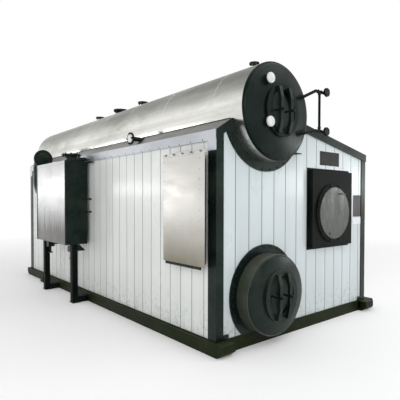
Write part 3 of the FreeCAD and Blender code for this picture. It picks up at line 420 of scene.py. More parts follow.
def wrap_finish():
    f, colour, rough, relief = steel_finish("stainless_wrap", (0.52, 0.52, 0.53),
                                            (0.46, 0.46, 0.465), (1.0, 1.0, 0.03), 0.3, 0.004, 1.4)
    # Painted shade low down on the wrap, with lighter vertical streaks as painted sheen.
    sheen_strokes = f.noise(14.0, (1.0, 1.0, 0.02), detail=5.0, rough=0.7)
    low = f.fade(f.axis("Z") + sheen_strokes * 0.5, 1.36, 1.76, 1.0, 0.0)
    colour = f.blend(low * 0.9, colour, (0.09, 0.082, 0.072))
    colour = f.blend(f.fade(sheen_strokes, 0.52, 0.64, 0.0, 0.2), colour, (0.4, 0.4, 0.4))
    return f.wear(Base_Color=colour, Roughness=rough, Normal=relief)


JACKET = jacket_finish()
FLUE_BLANK = flue_cover_finish()
WRAP = wrap_finish()
BRIGHT = plain_steel("stainless_bright", (0.8, 0.8, 0.78), (0.4, 0.4, 0.38), (1.0, 0.3, 1.0),
                     0.16, 0.01, 5.0)
# A darker copy of the zinc for the roof and the flashing: painted shade.
SHADED_ROOF_SHEET = plain_steel("zinc_roof_shaded", (0.27, 0.268, 0.262), (0.17, 0.168, 0.158), (1.0, 0.1, 1.0),
                         0.42)


def zinc_finish():
    f = Finish("zinc_trim", metallic=0.85, roughness=0.36)
    cells = f.node("TexVoronoi", {}, {"Vector": f.stretch(), "Scale": 38.0}, "Color")
    spangle = f.node("SeparateColor", {}, {"Color": cells}, "Red")
    clouds = f.noise(2.4, (1.0, 0.4, 1.0), detail=5.0)
    colour = f.blend(spangle * 0.45, (0.5, 0.525, 0.56), (0.62, 0.645, 0.68))
    colour = f.blend(f.fade(clouds, 0.45, 0.7, 0.0, 0.6), colour, (0.37, 0.385, 0.41))
    rough = f.fade(clouds + spangle * 0.3, 0.3, 0.9, 0.26, 0.5)
    return f.wear(Base_Color=colour, Roughness=rough,
                  Normal=f.bump(f.noise(1.8, detail=1.0), 0.006, 0.8))


ZINC = zinc_finish()
print("sheet metals:", JACKET.name, FLUE_BLANK.name, WRAP.name, ZINC.name)

# %% [markdown]
# ## Primer, caps, plates, refractory and fasteners
# The burner opening is closed by a disc in grey primer, scratched where it was lifted on. White
# caps keep dust out of small nozzles. Plates are bare on purpose. Screws and rivets in bright
# sheet are zinc-plated, and all other bolts are painted over.

# %% Small finishes
def speckled_finish(name, tint, second, scale, roughness, metallic=0.0, amount=0.5,
                    relief=0.0006, shine=0.5):
    f = Finish(name, metallic=metallic, roughness=roughness)
    f.shader.inputs["Specular IOR Level"].default_value = shine
    grain = f.noise(scale, detail=5.0, rough=0.7)
    clouds = f.noise(scale * 0.12, detail=5.0)
    colour = f.blend(f.fade(grain * 0.55 + clouds * 0.45, 0.4, 0.66, 0.0, amount), tint, second)
    return f.wear(Base_Color=colour, Normal=f.bump(grain, relief, 0.6),
                  Roughness=f.fade(clouds, 0.3, 0.7, roughness - 0.08, roughness + 0.12))


def primer_finish():
    f = Finish("primer_grey", roughness=0.38)
    clouds = f.noise(2.6, detail=6.0)
    wipes = f.noise(14.0, (1.0, 1.0, 0.2), detail=4.0, lean=0.6)
    scratch = f.fade(f.noise(70.0, (1.0, 1.0, 0.07), detail=2.0), 0.69, 0.72)
    colour = f.blend(f.fade(clouds * 0.6 + wipes * 0.4, 0.4, 0.66), (0.053, 0.062, 0.053),
                     (0.031, 0.037, 0.031))
    colour = f.blend(scratch * 0.5, colour, (0.4, 0.42, 0.4))
    return f.wear(Base_Color=colour, Normal=f.bump(clouds + wipes * 0.2, 0.002, 0.5),
                  Roughness=f.fade(wipes, 0.35, 0.65, 0.27, 0.5))


PRIMER = primer_finish()
CAP = speckled_finish("cap_white", (0.74, 0.75, 0.74), (0.3, 0.32, 0.32), 90.0, 0.5, amount=0.7)
PLATE = speckled_finish("plate_satin", (0.03, 0.031, 0.029), (0.012, 0.012, 0.011), 30.0, 0.5,
                        amount=0.8, shine=0.15)
SIGN = speckled_finish("plate_dark", (0.022, 0.02, 0.018), (0.045, 0.042, 0.038), 50.0, 0.45)
LABEL = speckled_finish("plate_white", (0.7, 0.73, 0.75), (0.5, 0.52, 0.53), 50.0, 0.4)
REFRACTORY = speckled_finish("refractory", (0.42, 0.37, 0.3), (0.25, 0.22, 0.18), 40.0, 0.9,
                             relief=0.003)
FASTENER = speckled_finish("fastener_zinc", (0.36, 0.37, 0.38), (0.16, 0.16, 0.15), 120.0, 0.35,
                           0.9)
DARK_BOLT = speckled_finish("fastener_painted", (0.012, 0.016, 0.014), (0.05, 0.05, 0.045), 90.0,
                            0.5, shine=0.12)
# Lighter grey than the enamel: a painted highlight along the mud drum's crease.
HIGHLIGHT_BEAD = speckled_finish("weld_bead", (0.05, 0.055, 0.045), (0.14, 0.14, 0.12), 120.0, 0.35, 0.3)
print("small finishes:", CAP.name, PLATE.name, REFRACTORY.name)

# %% [markdown]
# ## Dress the solids
# Most solids already have the right shape, so they stay and only take a finish. The record's
# slot of each node tells what it is made of, and a few nodes get a finish of their own.

# %% Finish by slot, then by name
SLOT_FINISH = {"casing_white": CLAD_SIDE, "black_paint": ENAMEL, "skid_paint": SKID,
               "stainless": WRAP, "galvanised": ZINC, "grey_paint": PRIMER, "cap_white": CAP,
               "plate_metal": PLATE, "refractory": REFRACTORY}
OWN_FINISH = {"steam_drum_jacket": JACKET, "flue_cover": FLUE_BLANK, "flue_bar": BRIGHT,
              "roof_right": SHADED_ROOF_SHEET, "flashing_left": SHADED_ROOF_SHEET, "burner_box": MATT_SHADED,
              "burner_ring": MATT_SHADED, "level_column": MATT_SHADED, "mud_drum_shell": MUD_SHEEN,
              "steam_head_front": HEAD_SHADED, "economizer_leg_front": MATT_SHADED, "economizer_leg_rear": MATT_SHADED}


def dress(name, material):
    for slot in frame["nodes"][name].material_slots:
        slot.material = material


for part in frame["record"]["subparts"]:
    node = part["node"]
    dress(node, OWN_FINISH.get(node, SLOT_FINISH[part["material_slot"]]))

# %% [markdown]
# ## Helpers for pieces
# Each new piece is one bmesh, started from a box, a cone or a short profile. These helpers hold
# the steps that every piece needs: ride on the body, take a finish, and aim a shape along a
# direction.

# %% Piece helpers
X_WAY, Y_WAY, Z_WAY = Vector((1, 0, 0)), Vector((0, 1, 0)), Vector((0, 0, 1))


def finish_piece(name, shape, material, replaced=(), smooth=0.0):
    """Makes a piece that rides on the body, smooth where faces meet under an angle in degrees."""
    mesh = bpy.data.meshes.new(name)
    shape.to_mesh(mesh)
    shape.free()
    piece = bpy.data.objects.new(name, mesh)
    scene.collection.objects.link(piece)
    mesh.materials.append(material)
    if smooth:
        mesh.shade_smooth()
        mesh.set_sharp_from_angle(angle=math.radians(smooth))
    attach(piece, "root")
    if replaced:
        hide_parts(*replaced)
    print(name, len(mesh.polygons), "faces")


def aim(place, way):
    """Stands a shape made along Z at a place, along a direction."""
    return Matrix.Translation(place) @ Z_WAY.rotation_difference(way).to_matrix().to_4x4()


def bevel_made(shape, made, offset, segments):
    edges = {e for v in made["verts"] for e in v.link_edges}
    bmesh.ops.bevel(shape, geom=list(edges), offset=offset, segments=segments, profile=0.5,
                    affect="EDGES", material=-1)


def add_box(shape, low, high, edge):
    """A box between two corners, with rounded edges."""
    low, high = Vector(low), Vector(high)
    place = Matrix.Translation((low + high) / 2) @ Matrix.Diagonal((*(high - low), 1.0))
    bevel_made(shape, bmesh.ops.create_cube(shape, size=1.0, matrix=place), edge, 2)


def add_disc(shape, place, way, radius, height, sides=24):
    """A short cylinder that starts at a place."""
    middle = Vector(place) + way * (height / 2)
    bmesh.ops.create_cone(shape, cap_ends=True, segments=sides, radius1=radius,
                          radius2=radius, depth=height, matrix=aim(middle, way))


def add_bolt(shape, place, way, across):
    """A washer and a hexagon head on a face, with the end of its stud."""
    add_disc(shape, place, way, across * 0.62, across * 0.09, 12)
    add_disc(shape, place, way, across * 0.54, across * 0.6, 6)
    add_disc(shape, place, way, across * 0.24, across * 0.88, 8)


def add_rivet(shape, place, way, radius):
    """A low head with slanting sides, for rivets and small screws."""
    bmesh.ops.create_cone(shape, cap_ends=True, segments=6, radius1=radius,
                          radius2=radius * 0.45, depth=radius * 0.7,
                          matrix=aim(place + way * radius * 0.3, way))


def turned(shape, profile, place, way, steps):
    """A profile of (radius, height) points, turned round an axis."""
    verts = [shape.verts.new(X_WAY * r + Z_WAY * h) for r, h in profile]
    edges = [shape.edges.new(pair) for pair in zip(verts, verts[1:])]
    bmesh.ops.spin(shape, geom=verts + edges, cent=(0, 0, 0), axis=(0, 0, 1),
                   angle=2 * math.pi, steps=steps, use_merge=True, use_duplicate=False)
    fresh = {v for f in shape.faces for v in f.verts if not f.tag}
    bmesh.ops.transform(shape, matrix=aim(place, way), verts=list(fresh))
    for face in shape.faces:
        face.tag = True


def close(shape):
    """Merges doubles and turns every face outwards."""
    bmesh.ops.remove_doubles(shape, verts=shape.verts, dist=1e-5)
    bmesh.ops.recalc_face_normals(shape, faces=shape.faces)


def thicken(shape, x):
    """Extrudes a sheet that looks along X back to a plane."""
    made = bmesh.ops.extrude_face_region(shape, geom=shape.faces[:])
    for item in made["geom"]:
        if isinstance(item, bmesh.types.BMVert):
            item.co.x = x
    bmesh.ops.recalc_face_normals(shape, faces=shape.faces)


def ring_places(centre, way, radius, count, start=0.5):
    """Even places round a circle across a direction."""
    turn = Z_WAY.rotation_difference(way)
    angles = [2 * math.pi * (k + start) / count for k in range(count)]
    return [centre + turn @ Vector((radius * math.cos(a), radius * math.sin(a), 0))
            for a in angles]


def middle(node):
    """The middle of a node's box."""
    low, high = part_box(node)
    return Vector([(low[k] + high[k]) / 2 for k in range(3)])


def steps_between(low, high, margin, count):
    """Even places from low to high, with a margin at both ends."""
    return [low + margin + k * (high - low - 2 * margin) / (count - 1) for k in range(count)]


# %% [markdown]
# ## Cladding planks
# The walls are planks of profiled sheet, 210 mm wide, with a narrow joint between them. The
# solid wall is right but plain, so its copy replaces it: planes cut the copy beside and along
# each joint, and the middle cut is pushed in to make a V. Modelling each plank apart would look
# the same and take many more faces.

# %% Cut the joints
JOINT_HALF = 0.0055
JOINT_DEPTH = 0.009
JOINT_MARGIN = 0.02    # no joint comes nearer than this to the wall's end


def plank_wall(node, axis, outward, first_line, material):
    shape = bmesh.new()
    shape.from_mesh(frame["nodes"][node].data)
    bmesh.ops.remove_doubles(shape, verts=shape.verts, dist=1e-6)
    low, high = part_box(node)
    face = (high if outward[1 - axis] > 0 else low)[1 - axis]
    normal = X_WAY if axis == 0 else Y_WAY
    line = first_line + PLANK_PITCH * math.ceil(
        (low[axis] + JOINT_MARGIN - first_line) / PLANK_PITCH)
    while line < high[axis] - JOINT_MARGIN:
        for offset in (-JOINT_HALF, JOINT_HALF, 0.0):
            bmesh.ops.bisect_plane(shape, geom=shape.verts[:] + shape.edges[:] + shape.faces[:],
                                   dist=1e-6, plane_co=normal * (line + offset), plane_no=normal)
        for vert in shape.verts:
            if abs(vert.co[axis] - line) < 1e-4 and abs(vert.co[1 - axis] - face) < 1e-4:
                vert.co -= outward * JOINT_DEPTH
        line += PLANK_PITCH
    finish_piece(node + "_planks", shape, material, (node,))


plank_wall("wall_front", 0, -Y_WAY, FRONT_LINE, CLAD_FRONT)
plank_wall("wall_rear", 0, Y_WAY, FRONT_LINE, CLAD_FRONT)
plank_wall("wall_left", 1, -X_WAY, LEFT_LINE, CLAD_SIDE)
plank_wall("wall_right", 1, X_WAY, LEFT_LINE, CLAD_SIDE)

# %% [markdown]
# ## Steam drum jacket
# The jacket is rolled sheet, closed by flat bands over its round joints and edged at each end by
# a black rim that hides the insulation. Bands and rims are short profiles turned round the drum's
# axis. The bands have the jacket's own finish, because they hardly show from afar.

# %% Jacket bands and rims
JACKET_LOW, JACKET_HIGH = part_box("steam_drum_jacket")
JACKET_RADIUS = (JACKET_HIGH[0] - JACKET_LOW[0]) / 2
STEAM_AXIS = middle("steam_drum_jacket")
BAND_WIDTH, BAND_THICK = 0.045, 0.0018
BAND_PLACES = (0.31, 1.31, 2.31, 3.16, 3.76, 4.76, 5.76)


def on_steam_axis(y):
    return Vector((STEAM_AXIS.x, y, STEAM_AXIS.z))


def jacket_bands():
    shape = bmesh.new()
    inner, outer = JACKET_RADIUS - 0.001, JACKET_RADIUS + BAND_THICK
    profile = [(inner, 0), (outer, 0.001), (outer, BAND_WIDTH - 0.001), (inner, BAND_WIDTH),
               (inner, 0)]
    for place in BAND_PLACES:
        turned(shape, profile, on_steam_axis(FRONT + place), Y_WAY, 64)
    close(shape)
    finish_piece("jacket_bands", shape, JACKET, smooth=40)


def jacket_rims():
    shape = bmesh.new()
    r = JACKET_RADIUS
    profile = [(r - 0.02, -0.002), (r - 0.02, 0.0015), (r - 0.002, 0.003), (r + 0.0008, 0.001),
               (r + 0.0008, -0.004), (r - 0.02, -0.002)]
    for end, way in ((JACKET_LOW[1], -Y_WAY), (JACKET_HIGH[1], Y_WAY)):
        turned(shape, profile, on_steam_axis(end), way, 96)
    close(shape)
    finish_piece("jacket_rims", shape, ENAMEL, smooth=40)


jacket_bands()
jacket_rims()

# %% [markdown]
# ## Weld beads and drum fittings
# Each head is welded to its drum with a wide round bead, painted lighter grey than the enamel as
# a painted highlight, so it shows as a fine bright line on the mud drum's crease. Small hexagon
# unions join the level pipes to the column. The nozzle caps are thin plastic: a domed face with
# a rolled lip, so a short profile is turned for each.

# %% Weld beads, unions and caps
MUD_LOW, MUD_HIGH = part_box("mud_drum_shell")
MUD_AXIS = middle("mud_drum_shell")
MUD_RADIUS = (MUD_HIGH[0] - MUD_LOW[0]) / 2
NOZZLE_PIPE = {"steam_outlet": 0.0665, "vent_nozzle": 0.017, "safety_valve_nozzle_front": 0.03,
               "safety_valve_nozzle_rear": 0.03}
COLUMN_OFFSET, COLUMN_REACH = 0.662, 0.098     # from the drum axis, and ahead of the jacket
COLUMN_RISES = (0.316, -0.154)
PIPE_OFFSET, PIPE_RISES = 0.315, (0.19, -0.22)
LEVEL_NOZZLE_OFFSET, LEVEL_NOZZLE_REACH = 0.22, 0.108
LEVEL_NOZZLE_RISES = (0.313, -0.146)
FEED = middle("feed_nozzle")
FEED_FACE = Vector((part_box("feed_nozzle")[0][0], FEED.y, FEED.z))


def by_drum_face(offset, reach, rise):
    """A point ahead of the jacket's front end, measured from the drum's axis."""
    return Vector((STEAM_AXIS.x + offset, JACKET_LOW[1] - reach, STEAM_AXIS.z + rise))


def ring_bead(shape, centre, way, radius, size):
    profile = [(radius - size, 0), (radius - size * 0.3, size * 0.6), (radius + size * 0.45, 0.0),
               (radius - size * 0.3, -size * 1.2), (radius - size, 0)]
    turned(shape, profile, centre, way, 96)


def weld_beads():
    shape = bmesh.new()
    for end, way in ((MUD_LOW[1], -Y_WAY), (MUD_HIGH[1], Y_WAY)):
        ring_bead(shape, Vector((MUD_AXIS.x, end, MUD_AXIS.z)), way, MUD_RADIUS, 0.008)
    for node, pipe in NOZZLE_PIPE.items():
        spot = middle(node)
        spot.z = JACKET_HIGH[2] + 0.002
        ring_bead(shape, spot, Z_WAY, pipe + 0.012, 0.012)
    close(shape)
    finish_piece("weld_beads", shape, HIGHLIGHT_BEAD, smooth=60)


def level_unions():
    shape = bmesh.new()
    for rise in COLUMN_RISES:
        spot = by_drum_face(COLUMN_OFFSET, COLUMN_REACH, rise)
        for way in (X_WAY, -X_WAY):
            add_disc(shape, spot + way * 0.022, way, 0.024, 0.014, 6)
        inner = 1.0 if rise < 0 else -1.0
        add_disc(shape, spot + Z_WAY * inner * 0.032, Z_WAY, 0.022, 0.018, 6)
    for rise in PIPE_RISES:
        add_disc(shape, by_drum_face(PIPE_OFFSET, 0.062, rise), Y_WAY, 0.03, 0.03, 16)
    finish_piece("level_unions", shape, DARK_BOLT)


def nozzle_caps():
    shape = bmesh.new()
    spots = [(by_drum_face(-LEVEL_NOZZLE_OFFSET, LEVEL_NOZZLE_REACH, rise), -Y_WAY, 0.0535)
             for rise in LEVEL_NOZZLE_RISES]
    for place, way, radius in spots + [(FEED_FACE, -X_WAY, 0.056)]:
        profile = [(0.0001, 0.009), (radius * 0.6, 0.008), (radius * 0.86, 0.006),
                   (radius * 0.9, 0.009), (radius, 0.008), (radius + 0.003, 0.002),
                   (radius + 0.003, -0.012), (radius, -0.012), (radius, 0.0), (0.0001, 0.0)]
        turned(shape, profile, place, way, 32)
    close(shape)
    finish_piece("nozzle_caps", shape, CAP, ("nozzle_covers",), smooth=35)


weld_beads()
level_unions()
nozzle_caps()

# %% [markdown]
# ## Flange bolts
# Every flange is drilled in its solid. Bolts go in the same holes: places come from the flange's
# own box, its bolt circle and its number of holes. On the drum's nozzles the heads sit
# underneath, because the flange faces are the highest thing on the boiler. The flange of the
# economizer's outlet looks forward from behind the box, and a low domed disc closes it.

# %% Bolts in the flanges
FLANGES = {   # node: (bolt circle radius, holes, across flats, thickness, heads on top too)
    "steam_outlet": (0.105, 8, 0.03, 0.022, False),
    "vent_nozzle": (0.0425, 4, 0.022, 0.016, False),
    "safety_valve_nozzle_front": (0.0625, 4, 0.028, 0.02, False),
    "safety_valve_nozzle_rear": (0.0625, 4, 0.028, 0.02, False),
    "economizer_inlet": (0.12, 8, 0.024, 0.024, True)}
OUTLET_HEIGHT = 2.39
OUTLET_BACK = 0.17     # the outlet's flange stands this far behind the economizer
OUTLET_FACE = Vector((middle("economizer_outlet").x,
                      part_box("economizer_outlet")[0][1] + OUTLET_BACK, OUTLET_HEIGHT))
COLUMN_STUB, COLUMN_FLANGE = 0.088, 0.048


def top_bolts():
    shape = bmesh.new()
    for node, (radius, count, across, thickness, both) in FLANGES.items():
        face = middle(node)
        face.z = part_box(node)[1][2]
        if both:
            add_disc(shape, face, Z_WAY, radius - 0.02, 0.008, 32)
        for spot in ring_places(face, Z_WAY, radius, count):
            if both:
                add_bolt(shape, spot, Z_WAY, across)
            add_bolt(shape, spot - Z_WAY * thickness, -Z_WAY, across)
    finish_piece("top_flange_bolts", shape, DARK_BOLT)


def side_bolts():
    shape = bmesh.new()
    for spot in ring_places(FEED_FACE, -X_WAY, 0.0625, 4, 0.0):
        add_bolt(shape, spot, -X_WAY, 0.024)
    for spot in ring_places(OUTLET_FACE, -Y_WAY, 0.1475, 8):
        add_bolt(shape, spot, -Y_WAY, 0.024)
    for rise in COLUMN_RISES:
        face = by_drum_face(COLUMN_OFFSET + COLUMN_STUB, COLUMN_REACH + COLUMN_FLANGE, rise)
        add_disc(shape, face, -Y_WAY, 0.05, 0.006, 24)
        for spot in ring_places(face - Y_WAY * 0.006, -Y_WAY, 0.04, 4):
            add_bolt(shape, spot, -Y_WAY, 0.011)
    finish_piece("side_flange_bolts", shape, DARK_BOLT)


def outlet_blank():
    shape = bmesh.new()
    profile = [(0.0001, 0.014), (0.1, 0.013), (0.118, 0.008), (0.12, 0.0), (0.0001, 0.0)]
    turned(shape, profile, OUTLET_FACE, -Y_WAY, 32)
    close(shape)
    finish_piece("outlet_blank", shape, ENAMEL, smooth=40)


top_bolts()
side_bolts()
outlet_blank()

# %% [markdown]
# ## Burner opening
# The blank disc is held by bolts round its edge through the mounting ring, and a small round bead
# runs along the disc's rim. A flat flange joins the box to the wall.

# %% Burner bolts, disc edge and box flange
BURNER_FACE = middle("burner_ring")
BURNER_FACE.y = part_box("burner_ring")[0][1]
BURNER_BOLTS, BURNER_BOLT_CIRCLE = 12, 0.3675
COVER_DEPTH = 0.012
BOX_FLANGE, BOX_FLANGE_THICK = 0.03, 0.004


def burner_bolts():
    shape = bmesh.new()
    for spot in ring_places(BURNER_FACE, -Y_WAY, BURNER_BOLT_CIRCLE, BURNER_BOLTS):
        add_bolt(shape, spot, -Y_WAY, 0.024)
    finish_piece("burner_bolts", shape, DARK_BOLT)


def burner_disc_edge():
    shape = bmesh.new()
    front = BURNER_FACE - Y_WAY * COVER_DEPTH
    profile = [(0.345, 0.001), (0.3425, 0.0035), (0.338, 0.001), (0.338, -0.002), (0.345, -0.002),
               (0.345, 0.001)]
    turned(shape, profile, front, -Y_WAY, 96)
    close(shape)
    add_disc(shape, front - Vector((0.12, 0.0, 0.272)), -Y_WAY, 0.012, 0.012, 12)
    finish_piece("burner_disc_edge", shape, PRIMER, smooth=40)


def burner_box_flange():
    shape = bmesh.new()
    (x0, _, z0), (x1, y1, z1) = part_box("burner_box")
    y0, t = y1 - BOX_FLANGE_THICK, BOX_FLANGE
    for a, b in (((x0 - t, y0, z0 - t), (x1 + t, y1, z0)), ((x0 - t, y0, z1), (x1 + t, y1, z1 + t)),
                 ((x0 - t, y0, z0), (x0, y1, z1)), ((x1, y0, z0), (x1 + t, y1, z1))):
        add_box(shape, a, b, 0.001)
    finish_piece("burner_box_flange", shape, MATT_SHADED)


burner_bolts()
burner_disc_edge()
burner_box_flange()

# %% [markdown]
# ## Flue blank
# The blank is thin sheet screwed to the duct flange near its edges. It bulges a little between
# its screws, so its replacement is a fine grid pushed out by a few smooth humps and one long
# crease, then given its thickness.

# %% Flue blank and its screws
def flue_blank():
    low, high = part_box("flue_cover")
    shape = bmesh.new()
    bmesh.ops.create_grid(shape, x_segments=24, y_segments=36, size=0.5)
    wide, tall = high[1] - low[1], high[2] - low[2]
    for vert in shape.verts:
        u, v = vert.co.x + 0.5, vert.co.y + 0.5
        hump = math.sin(math.pi * u) * math.sin(math.pi * v)
        crease = max(0.0, 1.0 - abs(v - 0.66 - 0.12 * u) / 0.05) * max(0.0, u - 0.35)
        wave = math.sin(9.0 * u + 3.0 * v) * math.sin(7.0 * v) * 0.3
        vert.co = Vector((low[0] + 0.0045 - 0.004 * hump * (0.7 + wave) + 0.0035 * crease,
                          high[1] - wide * u, low[2] + tall * v))
    thicken(shape, high[0])
    finish_piece("flue_blank", shape, FLUE_BLANK, ("flue_cover",), smooth=30)


def flue_screws():
    shape = bmesh.new()
    low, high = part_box("flue_cover")
    for y in (low[1] + 0.085, high[1] - 0.016):
        for z in steps_between(low[2], high[2], 0.05, 11):
            add_rivet(shape, Vector((low[0] + 0.004, y, z)), -X_WAY, 0.0055)
    low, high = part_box("flue_bar")
    for y in steps_between(low[1], high[1], 0.06, 5):
        add_bolt(shape, Vector((low[0], y, high[2] - 0.014)), -X_WAY, 0.02)
    finish_piece("flue_screws", shape, FASTENER)


flue_blank()
flue_screws()

# %% [markdown]
# ## Economizer wrap and end plates
# The economizer is a tube box wrapped in brushed sheet. The sheet laps at its corners and is
# riveted along its edges. The end plates are bolted on. A flat blank closes a second opening on
# its top beside the wall, and a thin tie plate runs from its top corner to the casing.

# %% Economizer details
ECO_LOW, ECO_HIGH = (Vector(corner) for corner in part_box("economizer_casing"))
WRAP_INSET = 0.006     # laps and rivets then stay inside the casing's box
LAP_THICK = 0.0015
TOP_LAP, LOW_LAP, SIDE_LAP = 0.055, 0.03, 0.022
SEAM_AT, SEAM_WIDE = 0.62, 0.04


def economizer_wrap():
    shape = bmesh.new()
    size = ECO_HIGH - ECO_LOW
    bmesh.ops.create_grid(shape, x_segments=30, y_segments=30, size=0.5)
    for vert in shape.verts:
        u, v = vert.co.x + 0.5, vert.co.y + 0.5
        panel = math.sin(math.pi * min(u / 0.48, (1 - u) / 0.52, 1.0) * 0.5)
        hump = panel * math.sin(math.pi * v) * (0.7 + 0.3 * math.sin(11 * u + 5 * v))
        vert.co = Vector((ECO_LOW.x + WRAP_INSET - 0.0018 * hump, ECO_HIGH.y - size.y * u,
                          ECO_LOW.z + size.z * v))
    thicken(shape, ECO_HIGH.x)
    finish_piece("economizer_wrap", shape, WRAP, ("economizer_casing",), 30)


def economizer_laps():
    shape = bmesh.new()
    x = ECO_LOW.x + WRAP_INSET
    y0, y1, z0, z1 = ECO_LOW.y, ECO_HIGH.y, ECO_LOW.z, ECO_HIGH.z
    low, top = z0 + LOW_LAP, z1 - TOP_LAP
    for a0, b0, a1, b1 in ((y0, top, y1, z1), (y0, z0, y1, low), (y0, low, y0 + SIDE_LAP, top),
                           (y1 - SIDE_LAP, low, y1, top),
                           (y0 + SEAM_AT, low, y0 + SEAM_AT + SEAM_WIDE, top)):
        add_box(shape, (x - LAP_THICK, a0, b0), (x, a1, b1), 0.0005)
    finish_piece("economizer_laps", shape, WRAP)


def economizer_rivets():
    shape = bmesh.new()
    x = ECO_LOW.x + WRAP_INSET - LAP_THICK
    for z in (ECO_HIGH.z - 0.045, ECO_LOW.z + 0.015):
        for y in steps_between(ECO_LOW.y, ECO_HIGH.y, 0.03, 22):
            add_rivet(shape, Vector((x, y, z)), -X_WAY, 0.005)
    for k in range(14):
        z = ECO_LOW.z + 0.09 + k * (ECO_HIGH.z - ECO_LOW.z - 0.2) / 13
        for y in (ECO_LOW.y + SIDE_LAP / 2, ECO_HIGH.y - SIDE_LAP / 2,
                  ECO_LOW.y + SEAM_AT + SEAM_WIDE / 2):
            add_rivet(shape, Vector((x, y, z)), -X_WAY, 0.0045)
    finish_piece("economizer_rivets", shape, FASTENER)


def economizer_plate_bolts():
    shape = bmesh.new()
    for node, way in (("economizer_plate_front", -Y_WAY), ("economizer_plate_rear", Y_WAY)):
        low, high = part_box(node)
        face = high[1] - 0.022 if way.y < 0 else high[1]
        for z in steps_between(low[2], high[2], 0.03, 7):
            for x in (low[0] + 0.022, ECO_HIGH.x - 0.016):
                add_bolt(shape, Vector((x, face, z)), way, 0.013)
    finish_piece("economizer_plate_bolts", shape, ENAMEL)


def economizer_top():
    shape = bmesh.new()
    neck, flange = 0.016, 0.044
    spot = Vector((ECO_HIGH.x - 0.085, ECO_LOW.y + 0.1, ECO_HIGH.z))
    add_disc(shape, spot, Z_WAY, 0.085, neck, 24)
    add_disc(shape, spot + Z_WAY * neck, Z_WAY, 0.115, flange, 32)
    for bolt in ring_places(spot + Z_WAY * (neck + flange), Z_WAY, 0.095, 4):
        add_bolt(shape, bolt, Z_WAY, 0.018)
    tie = Vector((ECO_HIGH.x, spot.y - 0.03, spot.z - 0.02))
    add_box(shape, tie + Vector((-0.02, -0.25, 0.0)), tie + Vector((0.05, 0.14, 0.012)), 0.002)
    finish_piece("economizer_top_blank", shape, ENAMEL, smooth=40)


economizer_wrap()
economizer_laps()
economizer_rivets()
economizer_plate_bolts()
economizer_top()

# %% [markdown]
# ## Blank plates
# Three plates are fixed to the front wall: a satin name plate, a dark sign and a small white
# label. They carry nothing here. Each is a box with rounded edges and a screw in each corner.

# %% Plates on the front wall
PLATE_THICK, SCREW_INSET = 0.004, 0.016


def wall_plate(name, from_right, z0, wide, tall, material, screw):
    shape = bmesh.new()
    y1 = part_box("wall_plates")[1][1]
    x0, y0 = RIGHT - from_right, y1 - PLATE_THICK
    add_box(shape, (x0, y0, z0), (x0 + wide, y1, z0 + tall), 0.0012)
    for x in (x0 + SCREW_INSET, x0 + wide - SCREW_INSET):
        for z in (z0 + SCREW_INSET, z0 + tall - SCREW_INSET):
            add_rivet(shape, Vector((x, y0, z)), -Y_WAY, screw)
    finish_piece(name, shape, material, ("wall_plates",))


wall_plate("name_plate", 1.148, 2.095, 0.45, 0.185, PLATE, 0.005)
wall_plate("sign_plate", 0.316, 1.392, 0.205, 0.31, SIGN, 0.004)
wall_plate("label_plate", 0.344, 1.283, 0.235, 0.094, LABEL, 0.003)

# %% [markdown]
# ## Roof seams, trims and collars
# The roof sheets meet in raised seams that run down the slope. The flashing and the bright eave
# trims are lapped every few planks and screwed. Screws also hold the collar rings on the walls.

# %% Seams, laps and screws
EAVE_LEFT_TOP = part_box("eave_trim_left")[1][2]
EAVE_RIGHT_TOP = 2.305
TRIM_HEIGHT = 0.11
SEAM_PITCH = 0.63
MEET_ANGLE_LEFT, MEET_ANGLE_RIGHT = 191.7, 1.0    # where the slopes meet the jacket
END_WALL_SCREW = 0.014     # the collar rings' thickness, under the screw heads


def on_jacket(degrees):
    """(x, z) on the jacket, x from the left posts."""
    a = math.radians(degrees)
    return (STEAM_AXIS.x - LEFT + JACKET_RADIUS * math.cos(a),
            STEAM_AXIS.z + JACKET_RADIUS * math.sin(a))


MEET_LEFT, MEET_RIGHT = on_jacket(MEET_ANGLE_LEFT), on_jacket(MEET_ANGLE_RIGHT)


def add_slope_strip(shape, start, end, y, width, height):
    """A strip lying on a slope between two (x, z) points."""
    (x0, z0), (x1, z1) = start, end
    length = math.hypot(x1 - x0, z1 - z0)
    turn = Matrix.Rotation(-math.atan2(z1 - z0, x1 - x0), 4, "Y")
    spot = at((x0 + x1) / 2, 0, (z0 + z1) / 2)
    spot.y = y
    place = Matrix.Translation(spot) @ turn @ Matrix.Diagonal((length, width, height, 1.0))
    bevel_made(shape, bmesh.ops.create_cube(shape, size=1.0, matrix=place), height * 0.2, 1)


def places_along(start, end, pitch):
    """Places along Y from a start, while they are under an end."""
    y = start
    while y < end:
        yield y
        y += pitch


def roof_seams():
    shape = bmesh.new()
    for y in places_along(FRONT + 0.4, REAR - 0.2, SEAM_PITCH):
        add_slope_strip(shape, (MEET_RIGHT[0] + 0.02, MEET_RIGHT[1]),
                        (RIGHT - LEFT, EAVE_RIGHT_TOP), y, 0.022, 0.05)
    for y in places_along(FRONT + 0.63, REAR - 0.2, SEAM_PITCH * 2):
        add_slope_strip(shape, (0.004, EAVE_LEFT_TOP + 0.001),
                        (MEET_LEFT[0], MEET_LEFT[1] + 0.001), y, 0.05, 0.004)
    finish_piece("roof_seams", shape, SHADED_ROOF_SHEET)


def roof_sealant():
    shape = bmesh.new()
    for (x, z), size in ((MEET_LEFT, 0.007), (MEET_RIGHT, 0.009)):
        add_disc(shape, at(x, 0.02, z), Y_WAY, size, REAR - FRONT - 0.04, 8)
    finish_piece("roof_sealant", shape, DARK_BOLT, smooth=60)


